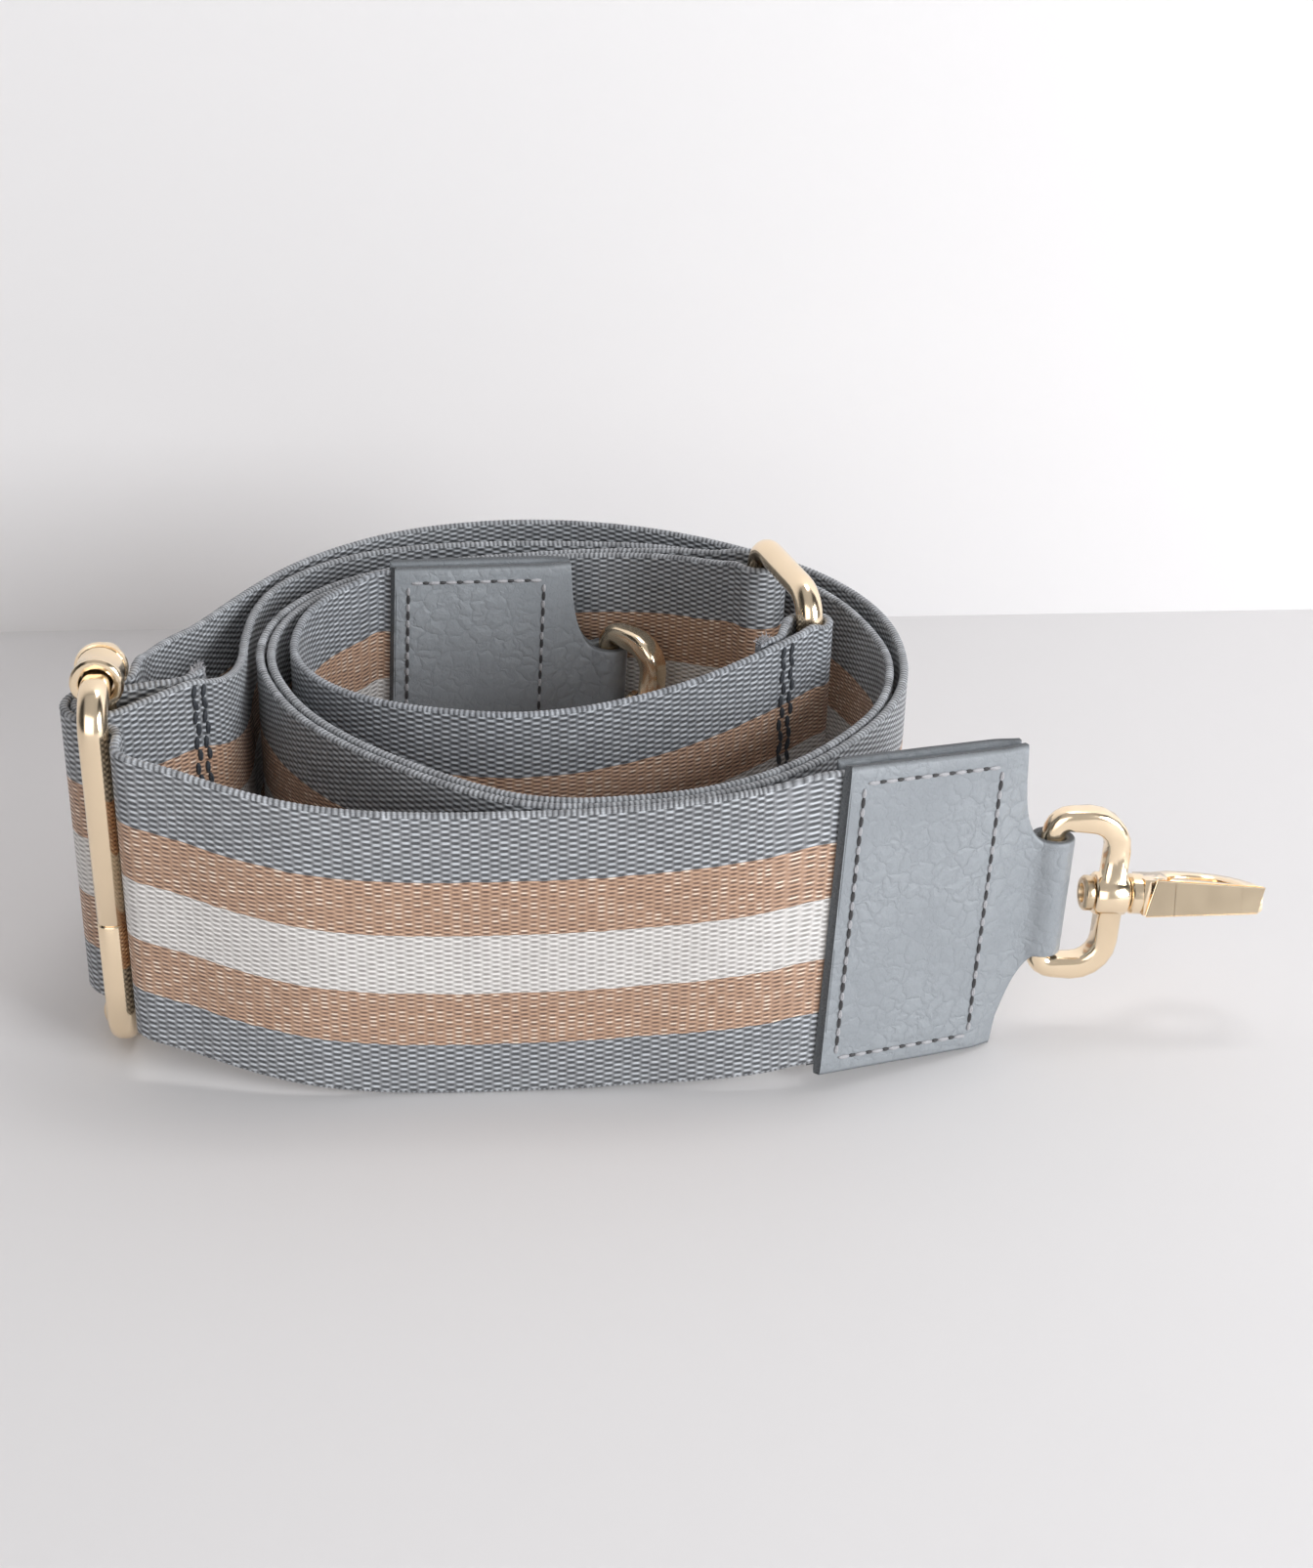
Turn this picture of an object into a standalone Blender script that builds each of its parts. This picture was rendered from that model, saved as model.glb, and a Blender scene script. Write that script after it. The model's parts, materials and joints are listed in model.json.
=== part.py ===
"""Detachable webbing bag strap, rolled up and standing on its edge.

A long webbing runs from the outer leather tab through a three-bar slider, round the roll to an
adjuster ring and back to the slider's centre bar.  A short webbing joins the ring to the inner
leather tab.  Each tab holds a swivel hook.  Metres, +Z up, origin under the middle of the part.
"""
import math

import bmesh
import bpy
from mathutils import Matrix, Vector

MM = 0.001
FULL_TURN = math.tau
QUARTER_TURN = math.pi / 2

# Webbing
WEBBING_WIDTH = 50 * MM
WEBBING_THICKNESS = 1.35 * MM
WEBBING_EDGE = 0.3 * MM
WEBBING_STEP = 3.5 * MM
SHARPEST_FACET = math.radians(16)
TANGENT_LEAD = 0.8 * MM
CLEARANCE = 0.3 * MM
FOLD_SLACK = 1.1 * MM
CUT_END_LENGTH = 5 * MM

# Roll, seen from above
ROLL_ROOM = 63 * MM
ROLL_DEPTH = 118 * MM

# Leather tabs
LEATHER_THICKNESS = 1.35 * MM
TAB_HEIGHT = 52.6 * MM
TAB_LENGTH = 32.5 * MM
TAB_NECK_LENGTH = 11.5 * MM
TAB_NECK_WIDTH = 20.2 * MM
TAB_NECK_DROP = 0.8 * MM
TAB_LOWER_STEP = 3.5 * MM
TAB_LOWER_BOW = 1.4 * MM
POCKET_LENGTH = 28 * MM

# Slider
SLIDER_SPACING = 21 * MM
SLIDER_ROD = 4.5 * MM
SLIDER_SQUARENESS = 1.25
SLIDER_CORNER = 5 * MM
CENTRE_BAR_DIAMETER = 4.4 * MM
COLLAR_LENGTH = 7 * MM
COLLAR_WALL = 1 * MM
COLLAR_LIP = 0.35 * MM
COLLAR_LIP_LENGTH = 1.2 * MM

# Adjuster ring
RING_SPACING = 24.3 * MM
RING_ROD = 4.6 * MM
RING_CORNER = 5 * MM
RING_FREEDOM = 0.8 * MM

# Swivel hooks
EYE_HEIGHT = 30 * MM
EYE_DEPTH = 14.8 * MM
EYE_BAR_DIAMETER = 3.8 * MM
EYE_WIRE_WIDTH = 4 * MM
EYE_WIRE_DEPTH = 4.4 * MM
EYE_CORNER = 5 * MM
BOSS_DIAMETER = 7 * MM
BOSS_RISE = 1 * MM
POST_DIAMETER = 3.2 * MM
POST_HEAD_DIAMETER = 5.8 * MM
POST_HEAD_LENGTH = 1.5 * MM
POST_HOLLOW_DIAMETER = 3.2 * MM
POST_HOLLOW_DEPTH = 1.2 * MM
POST_RUN = 0.1 * MM
COLLAR_BASE_LENGTH = 2.2 * MM
COLLAR_BASE_DIAMETER = 6.6 * MM
HOOK_LENGTH = 21.5 * MM
HOOK_BASE_LENGTH = 6.5 * MM
HOOK_BASE_WIDTH = 7 * MM
HOOK_HEIGHT = 5.8 * MM
HOOK_TIP_HEIGHT = 4 * MM
HOOK_REACH = 7.5 * MM
HOOK_ARM_WIDTH = 3 * MM
GATE_WIDTH = 2.6 * MM
GATE_TONGUE_HEIGHT = 1.7 * MM
GATE_SLANT = 1.2 * MM
GATE_NOSE_GAP = 0.5 * MM
GATE_SWING = math.radians(18)
PIN_DIAMETER = 1.5 * MM
PIN_RUN = 0.1 * MM
SPRING_WIRE = 0.4 * MM
SPRING_CURLS = 3
SPRING_PITCH = 0.6 * MM
SPRING_GAP = 0.25 * MM
HOOK_EDGE = 0.4 * MM

CUT_OVERRUN = 2 * MM

# Sizes that follow from those above
ROLL_WIDTH = ROLL_ROOM + 2 * TAB_LENGTH
LAYER_PITCH = WEBBING_THICKNESS + CLEARANCE
STITCH_PITCH = LAYER_PITCH + CLEARANCE
HALF_LAYER = WEBBING_THICKNESS / 2
SLIDER_ROD_REACH = SLIDER_ROD / 2 * math.sqrt(2) ** (1 - 1 / SLIDER_SQUARENESS)
COLLAR_BORE_RADIUS = SLIDER_ROD_REACH + CLEARANCE
COLLAR_RADIUS = COLLAR_BORE_RADIUS + COLLAR_WALL
COLLAR_OVERHANG = COLLAR_RADIUS + COLLAR_LIP - SLIDER_ROD / 2
SLIDER_HEIGHT = WEBBING_WIDTH + 2 * (SLIDER_ROD + COLLAR_OVERHANG + CLEARANCE)
SLIDER_WEBBING_LIFT = COLLAR_OVERHANG + SLIDER_ROD + COLLAR_OVERHANG + CLEARANCE
RING_HEIGHT = WEBBING_WIDTH + 2 * (RING_ROD + RING_FREEDOM)
RING_WEBBING_LIFT = RING_ROD + RING_FREEDOM
POCKET_GAP = WEBBING_THICKNESS + 2 * CLEARANCE
TAB_THICKNESS = POCKET_GAP + 2 * LEATHER_THICKNESS
FOLD_RADIUS = EYE_BAR_DIAMETER / 2 + CLEARANCE
EYE_BAR_X = TAB_LENGTH + TAB_NECK_LENGTH - FOLD_RADIUS - LEATHER_THICKNESS

# Attitudes: turned about Z, nose down, top away from the front
OUTER_TAB_TURN = math.radians(25)
OUTER_TAB_DROOP = math.radians(4.6)
OUTER_TAB_LEAN = math.radians(4)
INNER_TAB_TURN = math.radians(13)
INNER_TAB_DROOP = math.radians(2.4)
OUTER_EYE_TURN = math.radians(-19)
INNER_EYE_TURN = math.radians(-52)
OUTER_HOOK_ROLL = math.radians(166)
INNER_HOOK_ROLL = math.radians(90)
SLIDER_TURN = math.radians(95.4)
RING_TURN = math.radians(108.9)

# Places on the roll as shares of its width and depth
OUTER_TAB_SHARES = (0.887, 0.081)
INNER_TAB_SHARES = (0.295, 0.719)
SLIDER_SHARES = (0.020, 0.165)
RING_FRONT_SHARES = (0.877, 0.551)

# Each row: width share, depth share, share of the lift at the nearer hardware, share of the lean
FRONT_RUN_SHARES = (
    (0.828, 0.067, 0.92, 0.75), (0.773, 0.050, 0.72, 0.5), (0.719, 0.042, 0.5, 0.25),
    (0.666, 0.036, 0.32, 0), (0.602, 0.031, 0.16, 0), (0.516, 0.025, 0.06, 0),
    (0.430, 0.017, 0.06, 0),
)
SLIDER_APPROACH_SHARES = (
    (0.344, 0.008, 0.1), (0.266, 0.003, 0.26), (0.195, 0.011, 0.46), (0.129, 0.025, 0.68),
    (0.060, 0.042, 0.92),
)
OUTER_LAP_SHARES = (
    (0.037, 0.339, 0.8), (0.048, 0.415, 0.6), (0.070, 0.508, 0.34), (0.095, 0.619, 0.14),
    (0.123, 0.712, 0.03), (0.160, 0.790, 0), (0.211, 0.856, 0), (0.277, 0.917, 0),
    (0.359, 0.962, 0), (0.453, 0.988, 0), (0.555, 0.991, 0), (0.656, 0.971, 0),
    (0.742, 0.934, 0), (0.820, 0.883, 0), (0.893, 0.819, 0), (0.950, 0.737, 0),
    (0.986, 0.644, 0), (1.000, 0.542, 0), (0.995, 0.441, 0), (0.968, 0.346, 0),
    (0.923, 0.261, 0), (0.867, 0.186, 0), (0.801, 0.126, 0), (0.730, 0.086, 0),
    (0.656, 0.064, 0), (0.586, 0.053, 0), (0.523, 0.059, 0), (0.457, 0.088, 0),
    (0.380, 0.139, 0), (0.301, 0.205, 0), (0.234, 0.283, 0), (0.188, 0.369, 0),
    (0.162, 0.449, 0), (0.155, 0.525, 0), (0.165, 0.602, 0), (0.194, 0.675, 0),
    (0.242, 0.739, 0), (0.309, 0.791, 0), (0.391, 0.829, 0), (0.477, 0.854, 0),
    (0.555, 0.864, 0.08), (0.633, 0.853, 0.28), (0.703, 0.827, 0.56), (0.766, 0.798, 0.82),
)
INNER_LAP_START_SHARES = (
    (0.137, 0.276, 0.75), (0.145, 0.347, 0.45), (0.141, 0.432, 0.18), (0.131, 0.525, 0.03),
    (0.130, 0.619, 0), (0.146, 0.703, 0), (0.183, 0.773, 0), (0.242, 0.832, 0),
    (0.320, 0.871, 0), (0.406, 0.892, 0), (0.492, 0.903, 0), (0.578, 0.906, 0),
    (0.664, 0.903, 0), (0.746, 0.878, 0), (0.824, 0.831, 0), (0.891, 0.763, 0),
    (0.939, 0.678, 0),
)
INNER_LAP_END_SHARES = (
    (0.641, 0.836, 0.28), (0.703, 0.800, 0.56), (0.758, 0.757, 0.82),
)
SHORT_WEBBING_SHARES = (
    (0.258, 0.690, 0.38), (0.226, 0.652, 0.24), (0.204, 0.602, 0.14), (0.197, 0.545, 0.06),
    (0.200, 0.489, 0), (0.217, 0.438, 0), (0.247, 0.393, 0), (0.291, 0.354, 0),
    (0.352, 0.324, 0), (0.422, 0.308, 0), (0.492, 0.303, 0), (0.559, 0.313, 0.04),
    (0.621, 0.332, 0.14), (0.684, 0.357, 0.32), (0.742, 0.386, 0.56), (0.797, 0.423, 0.82),
)
INNER_STITCH_SHARES = (0.117, 0.234)
SHORT_STITCH_SHARES = (0.843, 0.463)
# The inner lap follows the outer lap's points from and to these rows, this many layers inside
FOLLOW_FIRST_ROW = 17
FOLLOW_LAST_ROW = 40
FOLLOW_LAYER_SHARES = (1.75, 1.4, 1.1)

METAL = ("pale_gold", (0.83, 0.66, 0.40), 0.16, 1)
PIN_METAL = ("pin_gold", (0.62, 0.47, 0.27), 0.28, 1)
SPRING_METAL = ("spring_steel", (0.45, 0.45, 0.46), 0.3, 1)
LEATHER = ("grey_leather", (0.19, 0.22, 0.245), 0.5, 0)
LONG_WEBBING = ("long_webbing_grey", (0.33, 0.37, 0.42), 0.55, 0)
SHORT_WEBBING = ("short_webbing_grey", (0.36, 0.40, 0.46), 0.55, 0)


def material(look):
    """The Principled material of a look: its name, colour, roughness and metallic value."""
    name, colour, roughness, metallic = look
    found = bpy.data.materials.get(name)
    if found:
        return found
    made = bpy.data.materials.new(name)
    made.use_nodes = True
    shader = made.node_tree.nodes["Principled BSDF"]
    shader.inputs["Base Color"].default_value = (*colour, 1)
    shader.inputs["Roughness"].default_value = roughness
    shader.inputs["Metallic"].default_value = metallic
    made.diffuse_color = (*colour, 1)
    return made


def empty(name, parent, matrix):
    """An axis or frame that pieces hang from."""
    made = bpy.data.objects.new(name, None)
    made.parent = parent
    made.matrix_local = matrix
    bpy.context.collection.objects.link(made)
    return made


def mesh_object(name, mesh, look, parent):
    """A piece, in its parent's frame."""
    made = bpy.data.objects.new(name, mesh)
    bpy.context.collection.objects.link(made)
    made.parent = parent
    mesh.materials.clear()
    mesh.materials.append(material(look))
    mesh.shade_smooth()
    mesh.set_sharp_from_angle(angle=math.radians(35))
    return made


def finish_mesh(name, shape):
    """The mesh of a bmesh, its faces turned out."""
    bmesh.ops.recalc_face_normals(shape, faces=shape.faces)
    mesh = bpy.data.meshes.new(name)
    shape.to_mesh(mesh)
    shape.free()
    return mesh


def loft(name, rings, closed=False):
    """A skin through rings of as many points each: a loop of rings, or a bar with two ends."""
    shape = bmesh.new()
    rows = [[shape.verts.new(point) for point in ring] for ring in rings]
    pairs = list(zip(rows, rows[1:]))
    if closed:
        pairs.append((rows[-1], rows[0]))
    for first, second in pairs:
        for index in range(len(first)):
            after = (index + 1) % len(first)
            shape.faces.new((first[index], first[after], second[after], second[index]))
    if not closed:
        shape.faces.new(rows[0])
        shape.faces.new(rows[-1])
    return finish_mesh(name, shape)


def prism(name, outline, low, high, place):
    """An outline drawn in a plane and extruded from low to high; place lays out its points."""
    return loft(name, [[place(x, y, level) for x, y in outline] for level in (low, high)])


def along_z(x, y, level):
    return Vector((x, y, level))


def along_y(x, z, level):
    return Vector((x, level, z))


def along_x(y, z, level):
    return Vector((level, y, z))


def circle(radius, sides=24, middle=(0, 0)):
    """A round outline."""
    turns = [FULL_TURN * index / sides for index in range(sides)]
    return [(middle[0] + radius * math.cos(turn), middle[1] + radius * math.sin(turn)) for turn in turns]


def turned(name, profile, sides=24):
    """A solid turned about X: profile rows are place along X and radius."""
    rings = [[along_x(y, z, x) for y, z in circle(radius, sides)] for x, radius in profile]
    return loft(name, rings)


def combine(target, tool, operation):
    """The exact Boolean of two meshes that lie in one frame; the tool is used up."""
    holder = bpy.data.objects.new("target", target)
    cutter = bpy.data.objects.new("cutter", tool)
    for item in (holder, cutter):
        bpy.context.collection.objects.link(item)
    step = holder.modifiers.new("combine", "BOOLEAN")
    step.operation = operation
    step.solver = "EXACT"
    step.object = cutter
    depsgraph = bpy.context.evaluated_depsgraph_get()
    made = bpy.data.meshes.new_from_object(holder.evaluated_get(depsgraph))
    made.name = target.name
    for item in (holder, cutter):
        bpy.data.objects.remove(item)
    return made


def rod_section(width, depth, squareness, sides=16):
    """A rod's outline: round at squareness 1, boxy with soft edges as it grows."""
    points = []
    for index in range(sides):
        turn = FULL_TURN * (index + 1 / 2) / sides
        across = math.copysign(abs(math.cos(turn)) ** (1 / squareness), math.cos(turn))
        along = math.copysign(abs(math.sin(turn)) ** (1 / squareness), math.sin(turn))
        points.append((across * width / 2, along * depth / 2))
    return points


def frame_path(depth, height, corner_front, corner_rear, steps=5):
    """A rounded rectangle in X and Z about its middle: its points and their outward turns."""
    rows = []
    corners = (
        (depth / 2, height / 2, corner_rear, 0), (-depth / 2, height / 2, corner_front, QUARTER_TURN),
        (-depth / 2, -height / 2, corner_front, math.pi),
        (depth / 2, -height / 2, corner_rear, math.pi + QUARTER_TURN),
    )
    for x, z, corner, start in corners:
        middle_x = x - math.copysign(corner, x)
        middle_z = z - math.copysign(corner, z)
        for step in range(steps + 1):
            turn = start + QUARTER_TURN * step / steps
            rows.append((middle_x + corner * math.cos(turn), middle_z + corner * math.sin(turn), turn))
    return rows


def rod_frame(name, rows, section_at):
    """A closed frame of rod along a rounded rectangle; a section is (in its plane, across it)."""
    rings = []
    for x, z, turn in rows:
        outward = Vector((math.cos(turn), 0, math.sin(turn)))
        middle = Vector((x, 0, z))
        rings.append([middle + outward * out + Vector((0, across, 0)) for out, across in section_at(x)])
    return loft(name, rings, closed=True)


def on_roll(shares):
    """The place above the roll's corner that a pair of shares names."""
    return Vector((shares[0] * ROLL_WIDTH, shares[1] * ROLL_DEPTH))


def left_of(direction):
    return Vector((-direction.y, direction.x))


def upright(place, lift, pinch=0):
    """The foot and head of the webbing's middle plane at one place: six numbers."""
    return (place.x, place.y, lift + pinch, place.x, place.y, lift + WEBBING_WIDTH - pinch)


def leaning(head, lift, lean, away):
    """The same where the webbing leans away from the front: the place is its head's."""
    foot = head - away * (WEBBING_WIDTH * math.sin(lean))
    return (foot.x, foot.y, lift, head.x, head.y, lift + WEBBING_WIDTH * math.cos(lean))


def corner_pinch(gap):
    """How far the ring's rounded inner corners draw in each edge of webbing that near a bar."""
    inner = RING_CORNER - RING_ROD / 2
    rise = inner - math.sqrt(inner ** 2 - max(inner - gap, 0) ** 2)
    return max(rise + CLEARANCE - RING_FREEDOM, 0)


def smooth_route(stations, step=WEBBING_STEP):
    """Evenly spaced stations on the smooth curve through the given ones."""
    kept = [stations[0]]
    for station in stations[1:]:
        if math.dist(kept[-1][:2], station[:2]) > CLEARANCE:
            kept.append(station)
    ends = [tuple(2 * a - b for a, b in zip(kept[0], kept[1]))]
    ends.append(tuple(2 * a - b for a, b in zip(kept[-1], kept[-2])))
    points = [ends[0], *kept, ends[1]]
    fine = []
    for before, start, finish, after in zip(points, points[1:], points[2:], points[3:]):
        knots = [0]
        for first, second in ((before, start), (start, finish), (finish, after)):
            knots.append(knots[-1] + math.dist(first[:2], second[:2]) ** 0.5)
        count = 12
        for index in range(count):
            at = knots[1] + (knots[2] - knots[1]) * index / count
            fine.append(spline_point((before, start, finish, after), knots, at))
    fine.append(kept[-1])
    return even_spacing(fine, step)


def spline_point(points, knots, at):
    """A point, between the middle two, of the centripetal curve through four points."""
    def mix(first, second, low, high):
        share = (at - knots[low]) / (knots[high] - knots[low])
        return tuple(a + (b - a) * share for a, b in zip(first, second))

    near, middle, far = (mix(points[i], points[i + 1], i, i + 1) for i in range(3))
    return mix(mix(near, middle, 0, 2), mix(middle, far, 1, 3), 1, 2)


def even_spacing(points, step):
    """Points at even spacing along a fine run of points, closer where it bends sharply."""
    made = [points[0]]
    travelled = 0
    turned_by = 0
    for before, here, after in zip(points, points[1:], points[2:]):
        travelled += math.dist(before[:2], here[:2])
        old = math.atan2(here[1] - before[1], here[0] - before[0])
        new = math.atan2(after[1] - here[1], after[0] - here[0])
        turned_by += abs(math.remainder(new - old, FULL_TURN))
        if travelled >= step or turned_by > SHARPEST_FACET:
            made.append(here)
            travelled = 0
            turned_by = 0
    if len(made) > 2 and math.dist(made[-1][:2], points[-1][:2]) < 2 * CLEARANCE:
        made.pop()
    made.append(points[-1])
    return made


def belt(start, circles, finish):
    """A taut line from start round circles (middle, radius, +1 anticlockwise) to finish.

    Returns the plan points of each arc, and those along each straight between them."""
    stops = [(start, 0), *((middle, radius * sense) for middle, radius, sense in circles), (finish, 0)]
    headings = []
    for (first, first_side), (second, second_side) in zip(stops, stops[1:]):
        span = second - first
        headings.append(math.atan2(span.y, span.x) - math.asin((second_side - first_side) / span.length))
    arcs = []
    for index, (middle, side) in enumerate(stops[1:-1]):
        swing = math.remainder(headings[index + 1] - headings[index], FULL_TURN)
        if side * swing < 0:
            swing += math.copysign(FULL_TURN, side)
        steps = max(2, math.ceil(abs(swing) / SHARPEST_FACET))
        turns = [headings[index] + swing * step / steps for step in range(steps + 1)]
        arcs.append([middle + Vector((math.sin(turn), -math.cos(turn))) * side for turn in turns])
    firsts = [start, *(arc[-1] for arc in arcs)]
    seconds = [*(arc[0] for arc in arcs), finish]
    return arcs, [straight(first, second) for first, second in zip(firsts, seconds)]


def straight(first, second):
    """Points near both ends of a straight, and its middle."""
    span = second - first
    lead = min(TANGENT_LEAD / span.length, 1 / 3)
    return [first + span * share for share in (lead, 1 / 2, 1 - lead)]


def webbing_mesh(name, stations):
    """The strip along its stations, with its selvedges' corners taken off."""
    half = WEBBING_THICKNESS / 2
    rings = []
    for index, station in enumerate(stations):
        foot = Vector(station[:3])
        head = Vector(station[3:])
        before = Vector(stations[max(index - 1, 0)][:2])
        after = Vector(stations[min(index + 1, len(stations) - 1)][:2])
        side = left_of((after - before).normalized()).to_3d()
        up = (head - foot).normalized()
        edge = WEBBING_EDGE
        rings.append([
            foot + side * (half - edge), foot + side * half + up * edge,
            head + side * half - up * edge, head + side * (half - edge),
            head - side * (half - edge), head - side * half - up * edge,
            foot - side * half + up * edge, foot - side * (half - edge),
        ])
    return loft(name, rings)


def share_stations(rows, lift):
    """Upright stations from a table of shares."""
    return [upright(on_roll(row), row[2] * lift) for row in rows]


def shorten(stations, amount, at_start):
    """Takes a short length off one end."""
    ordered = stations if at_start else stations[::-1]
    span = math.dist(ordered[0][:2], ordered[1][:2])
    share = amount / span
    ordered = [tuple(a + (b - a) * share for a, b in zip(ordered[0], ordered[1])), *ordered[1:]]
    return ordered if at_start else ordered[::-1]


def tab_matrix(shares, height, turn, droop, lean):
    """A tab's frame: X along it, Y through it away from the front, Z up it."""
    place = on_roll(shares)
    return (
        Matrix.Translation((place.x, place.y, height)) @ Matrix.Rotation(turn, 4, "Z")
        @ Matrix.Rotation(droop, 4, "Y") @ Matrix.Rotation(-lean, 4, "X")
    )


def standing_height(droop, lean):
    """How high a tab's frame sits so that its lower corner just clears the floor."""
    low = TAB_HEIGHT / 2 * math.cos(droop) * math.cos(lean)
    low += TAB_LENGTH * math.sin(droop) + TAB_THICKNESS / 2 * math.sin(lean)
    return low


def pocket_stations(matrix, spots):
    """The webbing inside a tab and just outside it, in the tab's own frame."""
    made = []
    for spot in spots:
        foot = matrix @ Vector((spot, 0, -WEBBING_WIDTH / 2))
        head = matrix @ Vector((spot, 0, WEBBING_WIDTH / 2))
        made.append((*foot, *head))
    return made


def slider_places():
    """Plan places of the slider's front, centre and rear bars."""
    middle = on_roll(SLIDER_SHARES)
    along = Vector((math.cos(SLIDER_TURN), math.sin(SLIDER_TURN)))
    return [middle + along * (SLIDER_SPACING / 2 * side) for side in (-1, 0, 1)]


def ring_places():
    """Plan places of the ring's front and rear bars."""
    front = on_roll(RING_FRONT_SHARES)
    along = Vector((math.cos(RING_TURN), math.sin(RING_TURN)))
    return front, front + along * RING_SPACING


def webbing_routes(outer_tab, inner_tab):
    """The stations of the long webbing's three laps and of the short webbing."""
    front_bar, centre_bar, rear_bar = slider_places()
    ring_front, ring_rear = ring_places()
    beside_rod = SLIDER_ROD_REACH + CLEARANCE + HALF_LAYER
    round_bar = CENTRE_BAR_DIAMETER / 2 + FOLD_SLACK + HALF_LAYER
    round_ring = RING_ROD / 2 + FOLD_SLACK + HALF_LAYER
    round_front = RING_ROD / 2 + CLEARANCE + HALF_LAYER
    slider_lift = SLIDER_WEBBING_LIFT
    ring_lift = RING_WEBBING_LIFT

    pocket_spots = [POCKET_LENGTH * share for share in (1, 0.75, 0.5, 0.25, 0, -0.08)]
    front = pocket_stations(outer_tab, pocket_spots)
    away = Vector((-math.sin(OUTER_TAB_TURN), math.cos(OUTER_TAB_TURN)))
    tab_lift = outer_tab.translation.z - WEBBING_WIDTH / 2
    for row in FRONT_RUN_SHARES:
        front.append(leaning(on_roll(row), row[2] * tab_lift, OUTER_TAB_LEAN * row[3], away))
    front += share_stations(SLIDER_APPROACH_SHARES, slider_lift)
    outer_free = share_stations(OUTER_LAP_SHARES[:5], slider_lift)
    outer_free += share_stations(OUTER_LAP_SHARES[5:], ring_lift)

    bars = [(front_bar, beside_rod, 1), (centre_bar, round_bar + LAYER_PITCH, -1),
            (rear_bar, beside_rod, 1)]
    arcs, straights = belt(Vector(front[-1][:2]), bars, Vector(outer_free[0][:2]))
    over = [*straights[0][1:], *arcs[0], *straights[1], *arcs[1], *straights[2][:2]]
    inside = [*straights[2][1:], *arcs[2], *straights[3][:2]]
    front += [upright(place, slider_lift) for place in over]
    front = shorten(smooth_route(front), CLEARANCE, at_start=False)

    arcs, straights = belt(Vector(outer_free[-1][:2]), [(ring_rear, round_ring, -1)],
                           on_roll(INNER_LAP_END_SHARES[-1]))
    half_way = len(arcs[0]) // 2
    outer = [upright(place, slider_lift) for place in inside]
    outer += outer_free
    outer += [upright(place, ring_lift) for place in [*straights[0][1:], *arcs[0][:half_way + 1]]]
    outer = shorten(smooth_route(outer), CLEARANCE, at_start=True)
    outer = shorten(outer, CLEARANCE, at_start=False)
    inner_turn = [*reversed(straights[1][:2]), *reversed(arcs[0][half_way:])]

    inner_start = share_stations(INNER_LAP_START_SHARES, slider_lift)
    stitch = on_roll(INNER_STITCH_SHARES)
    heading = (Vector(inner_start[0][:2]) - stitch).normalized()
    cut_places = [stitch + heading * CUT_END_LENGTH * share + left_of(heading) * STITCH_PITCH
                  for share in (0.9, 0.45, 0)]
    arcs, straights = belt(cut_places[-1], [(centre_bar, round_bar, 1)], stitch)
    places = [*cut_places, *straights[0][1:], *arcs[0], *straights[1][:2], stitch]
    inner = [upright(place, slider_lift) for place in places]
    inner += inner_start
    inner += follow_inside(outer_free)
    inner += share_stations(INNER_LAP_END_SHARES, ring_lift)
    inner += [upright(place, ring_lift) for place in inner_turn]
    inner = shorten(smooth_route(inner), CLEARANCE, at_start=False)

    short = pocket_stations(inner_tab, pocket_spots)
    short += share_stations(SHORT_WEBBING_SHARES, ring_lift)
    stitch = on_roll(SHORT_STITCH_SHARES)
    heading = (stitch - Vector(short[-1][:2])).normalized()
    cut_places = [stitch + heading * CUT_END_LENGTH * share + left_of(heading) * STITCH_PITCH
                  for share in (0, -0.45, -0.9)]
    arcs, straights = belt(stitch, [(ring_front, round_front, 1)], cut_places[0])
    short += [upright(place, ring_lift) for place in [stitch, *straights[0][1:]]]
    short += [upright(place, ring_lift, corner_pinch(CLEARANCE)) for place in arcs[0]]
    short += [upright(place, ring_lift) for place in [*straights[1][:2], *cut_places]]
    return front, outer, inner, smooth_route(short)


def follow_inside(outer_free):
    """Stations beside the outer lap's, one or more layers nearer the roll's middle."""
    made = []
    for row in range(FOLLOW_FIRST_ROW, FOLLOW_LAST_ROW + 1):
        layers = FOLLOW_LAYER_SHARES[min(row - FOLLOW_FIRST_ROW, len(FOLLOW_LAYER_SHARES) - 1)]
        before = Vector(outer_free[row - 1][:2])
        after = Vector(outer_free[row + 1][:2])
        inward = -left_of((after - before).normalized())
        place = Vector(outer_free[row][:2]) + inward * (LAYER_PITCH * layers)
        made.append(upright(place, outer_free[row][2]))
    return made


def tab_outline():
    """The leather's outline: a rectangle whose shoulders sweep in to the neck."""
    half = TAB_HEIGHT / 2
    neck_end = TAB_LENGTH + TAB_NECK_LENGTH
    neck_start = neck_end - 2 * FOLD_RADIUS - LEATHER_THICKNESS
    neck_top = TAB_NECK_WIDTH / 2 - TAB_NECK_DROP
    neck_low = -TAB_NECK_WIDTH / 2 - TAB_NECK_DROP
    low_corner = -half + TAB_LOWER_STEP
    points = [(0, -half), (TAB_LENGTH, -half)]
    steps = 8
    for step in range(steps + 1):
        share = step / steps
        bow = math.sin(share * math.pi) * TAB_LOWER_BOW
        x = TAB_LENGTH + (neck_start - TAB_LENGTH) * share
        points.append((x, low_corner + (neck_low - low_corner) * share + bow))
    points += [(neck_end, neck_low), (neck_end, neck_top)]
    for step in range(steps + 1):
        turn = QUARTER_TURN * (1 - step / steps)
        x = neck_start - (neck_start - TAB_LENGTH) * math.cos(turn)
        points.append((x, half - (half - neck_top) * math.sin(turn)))
    points.append((0, half))
    return points


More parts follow.
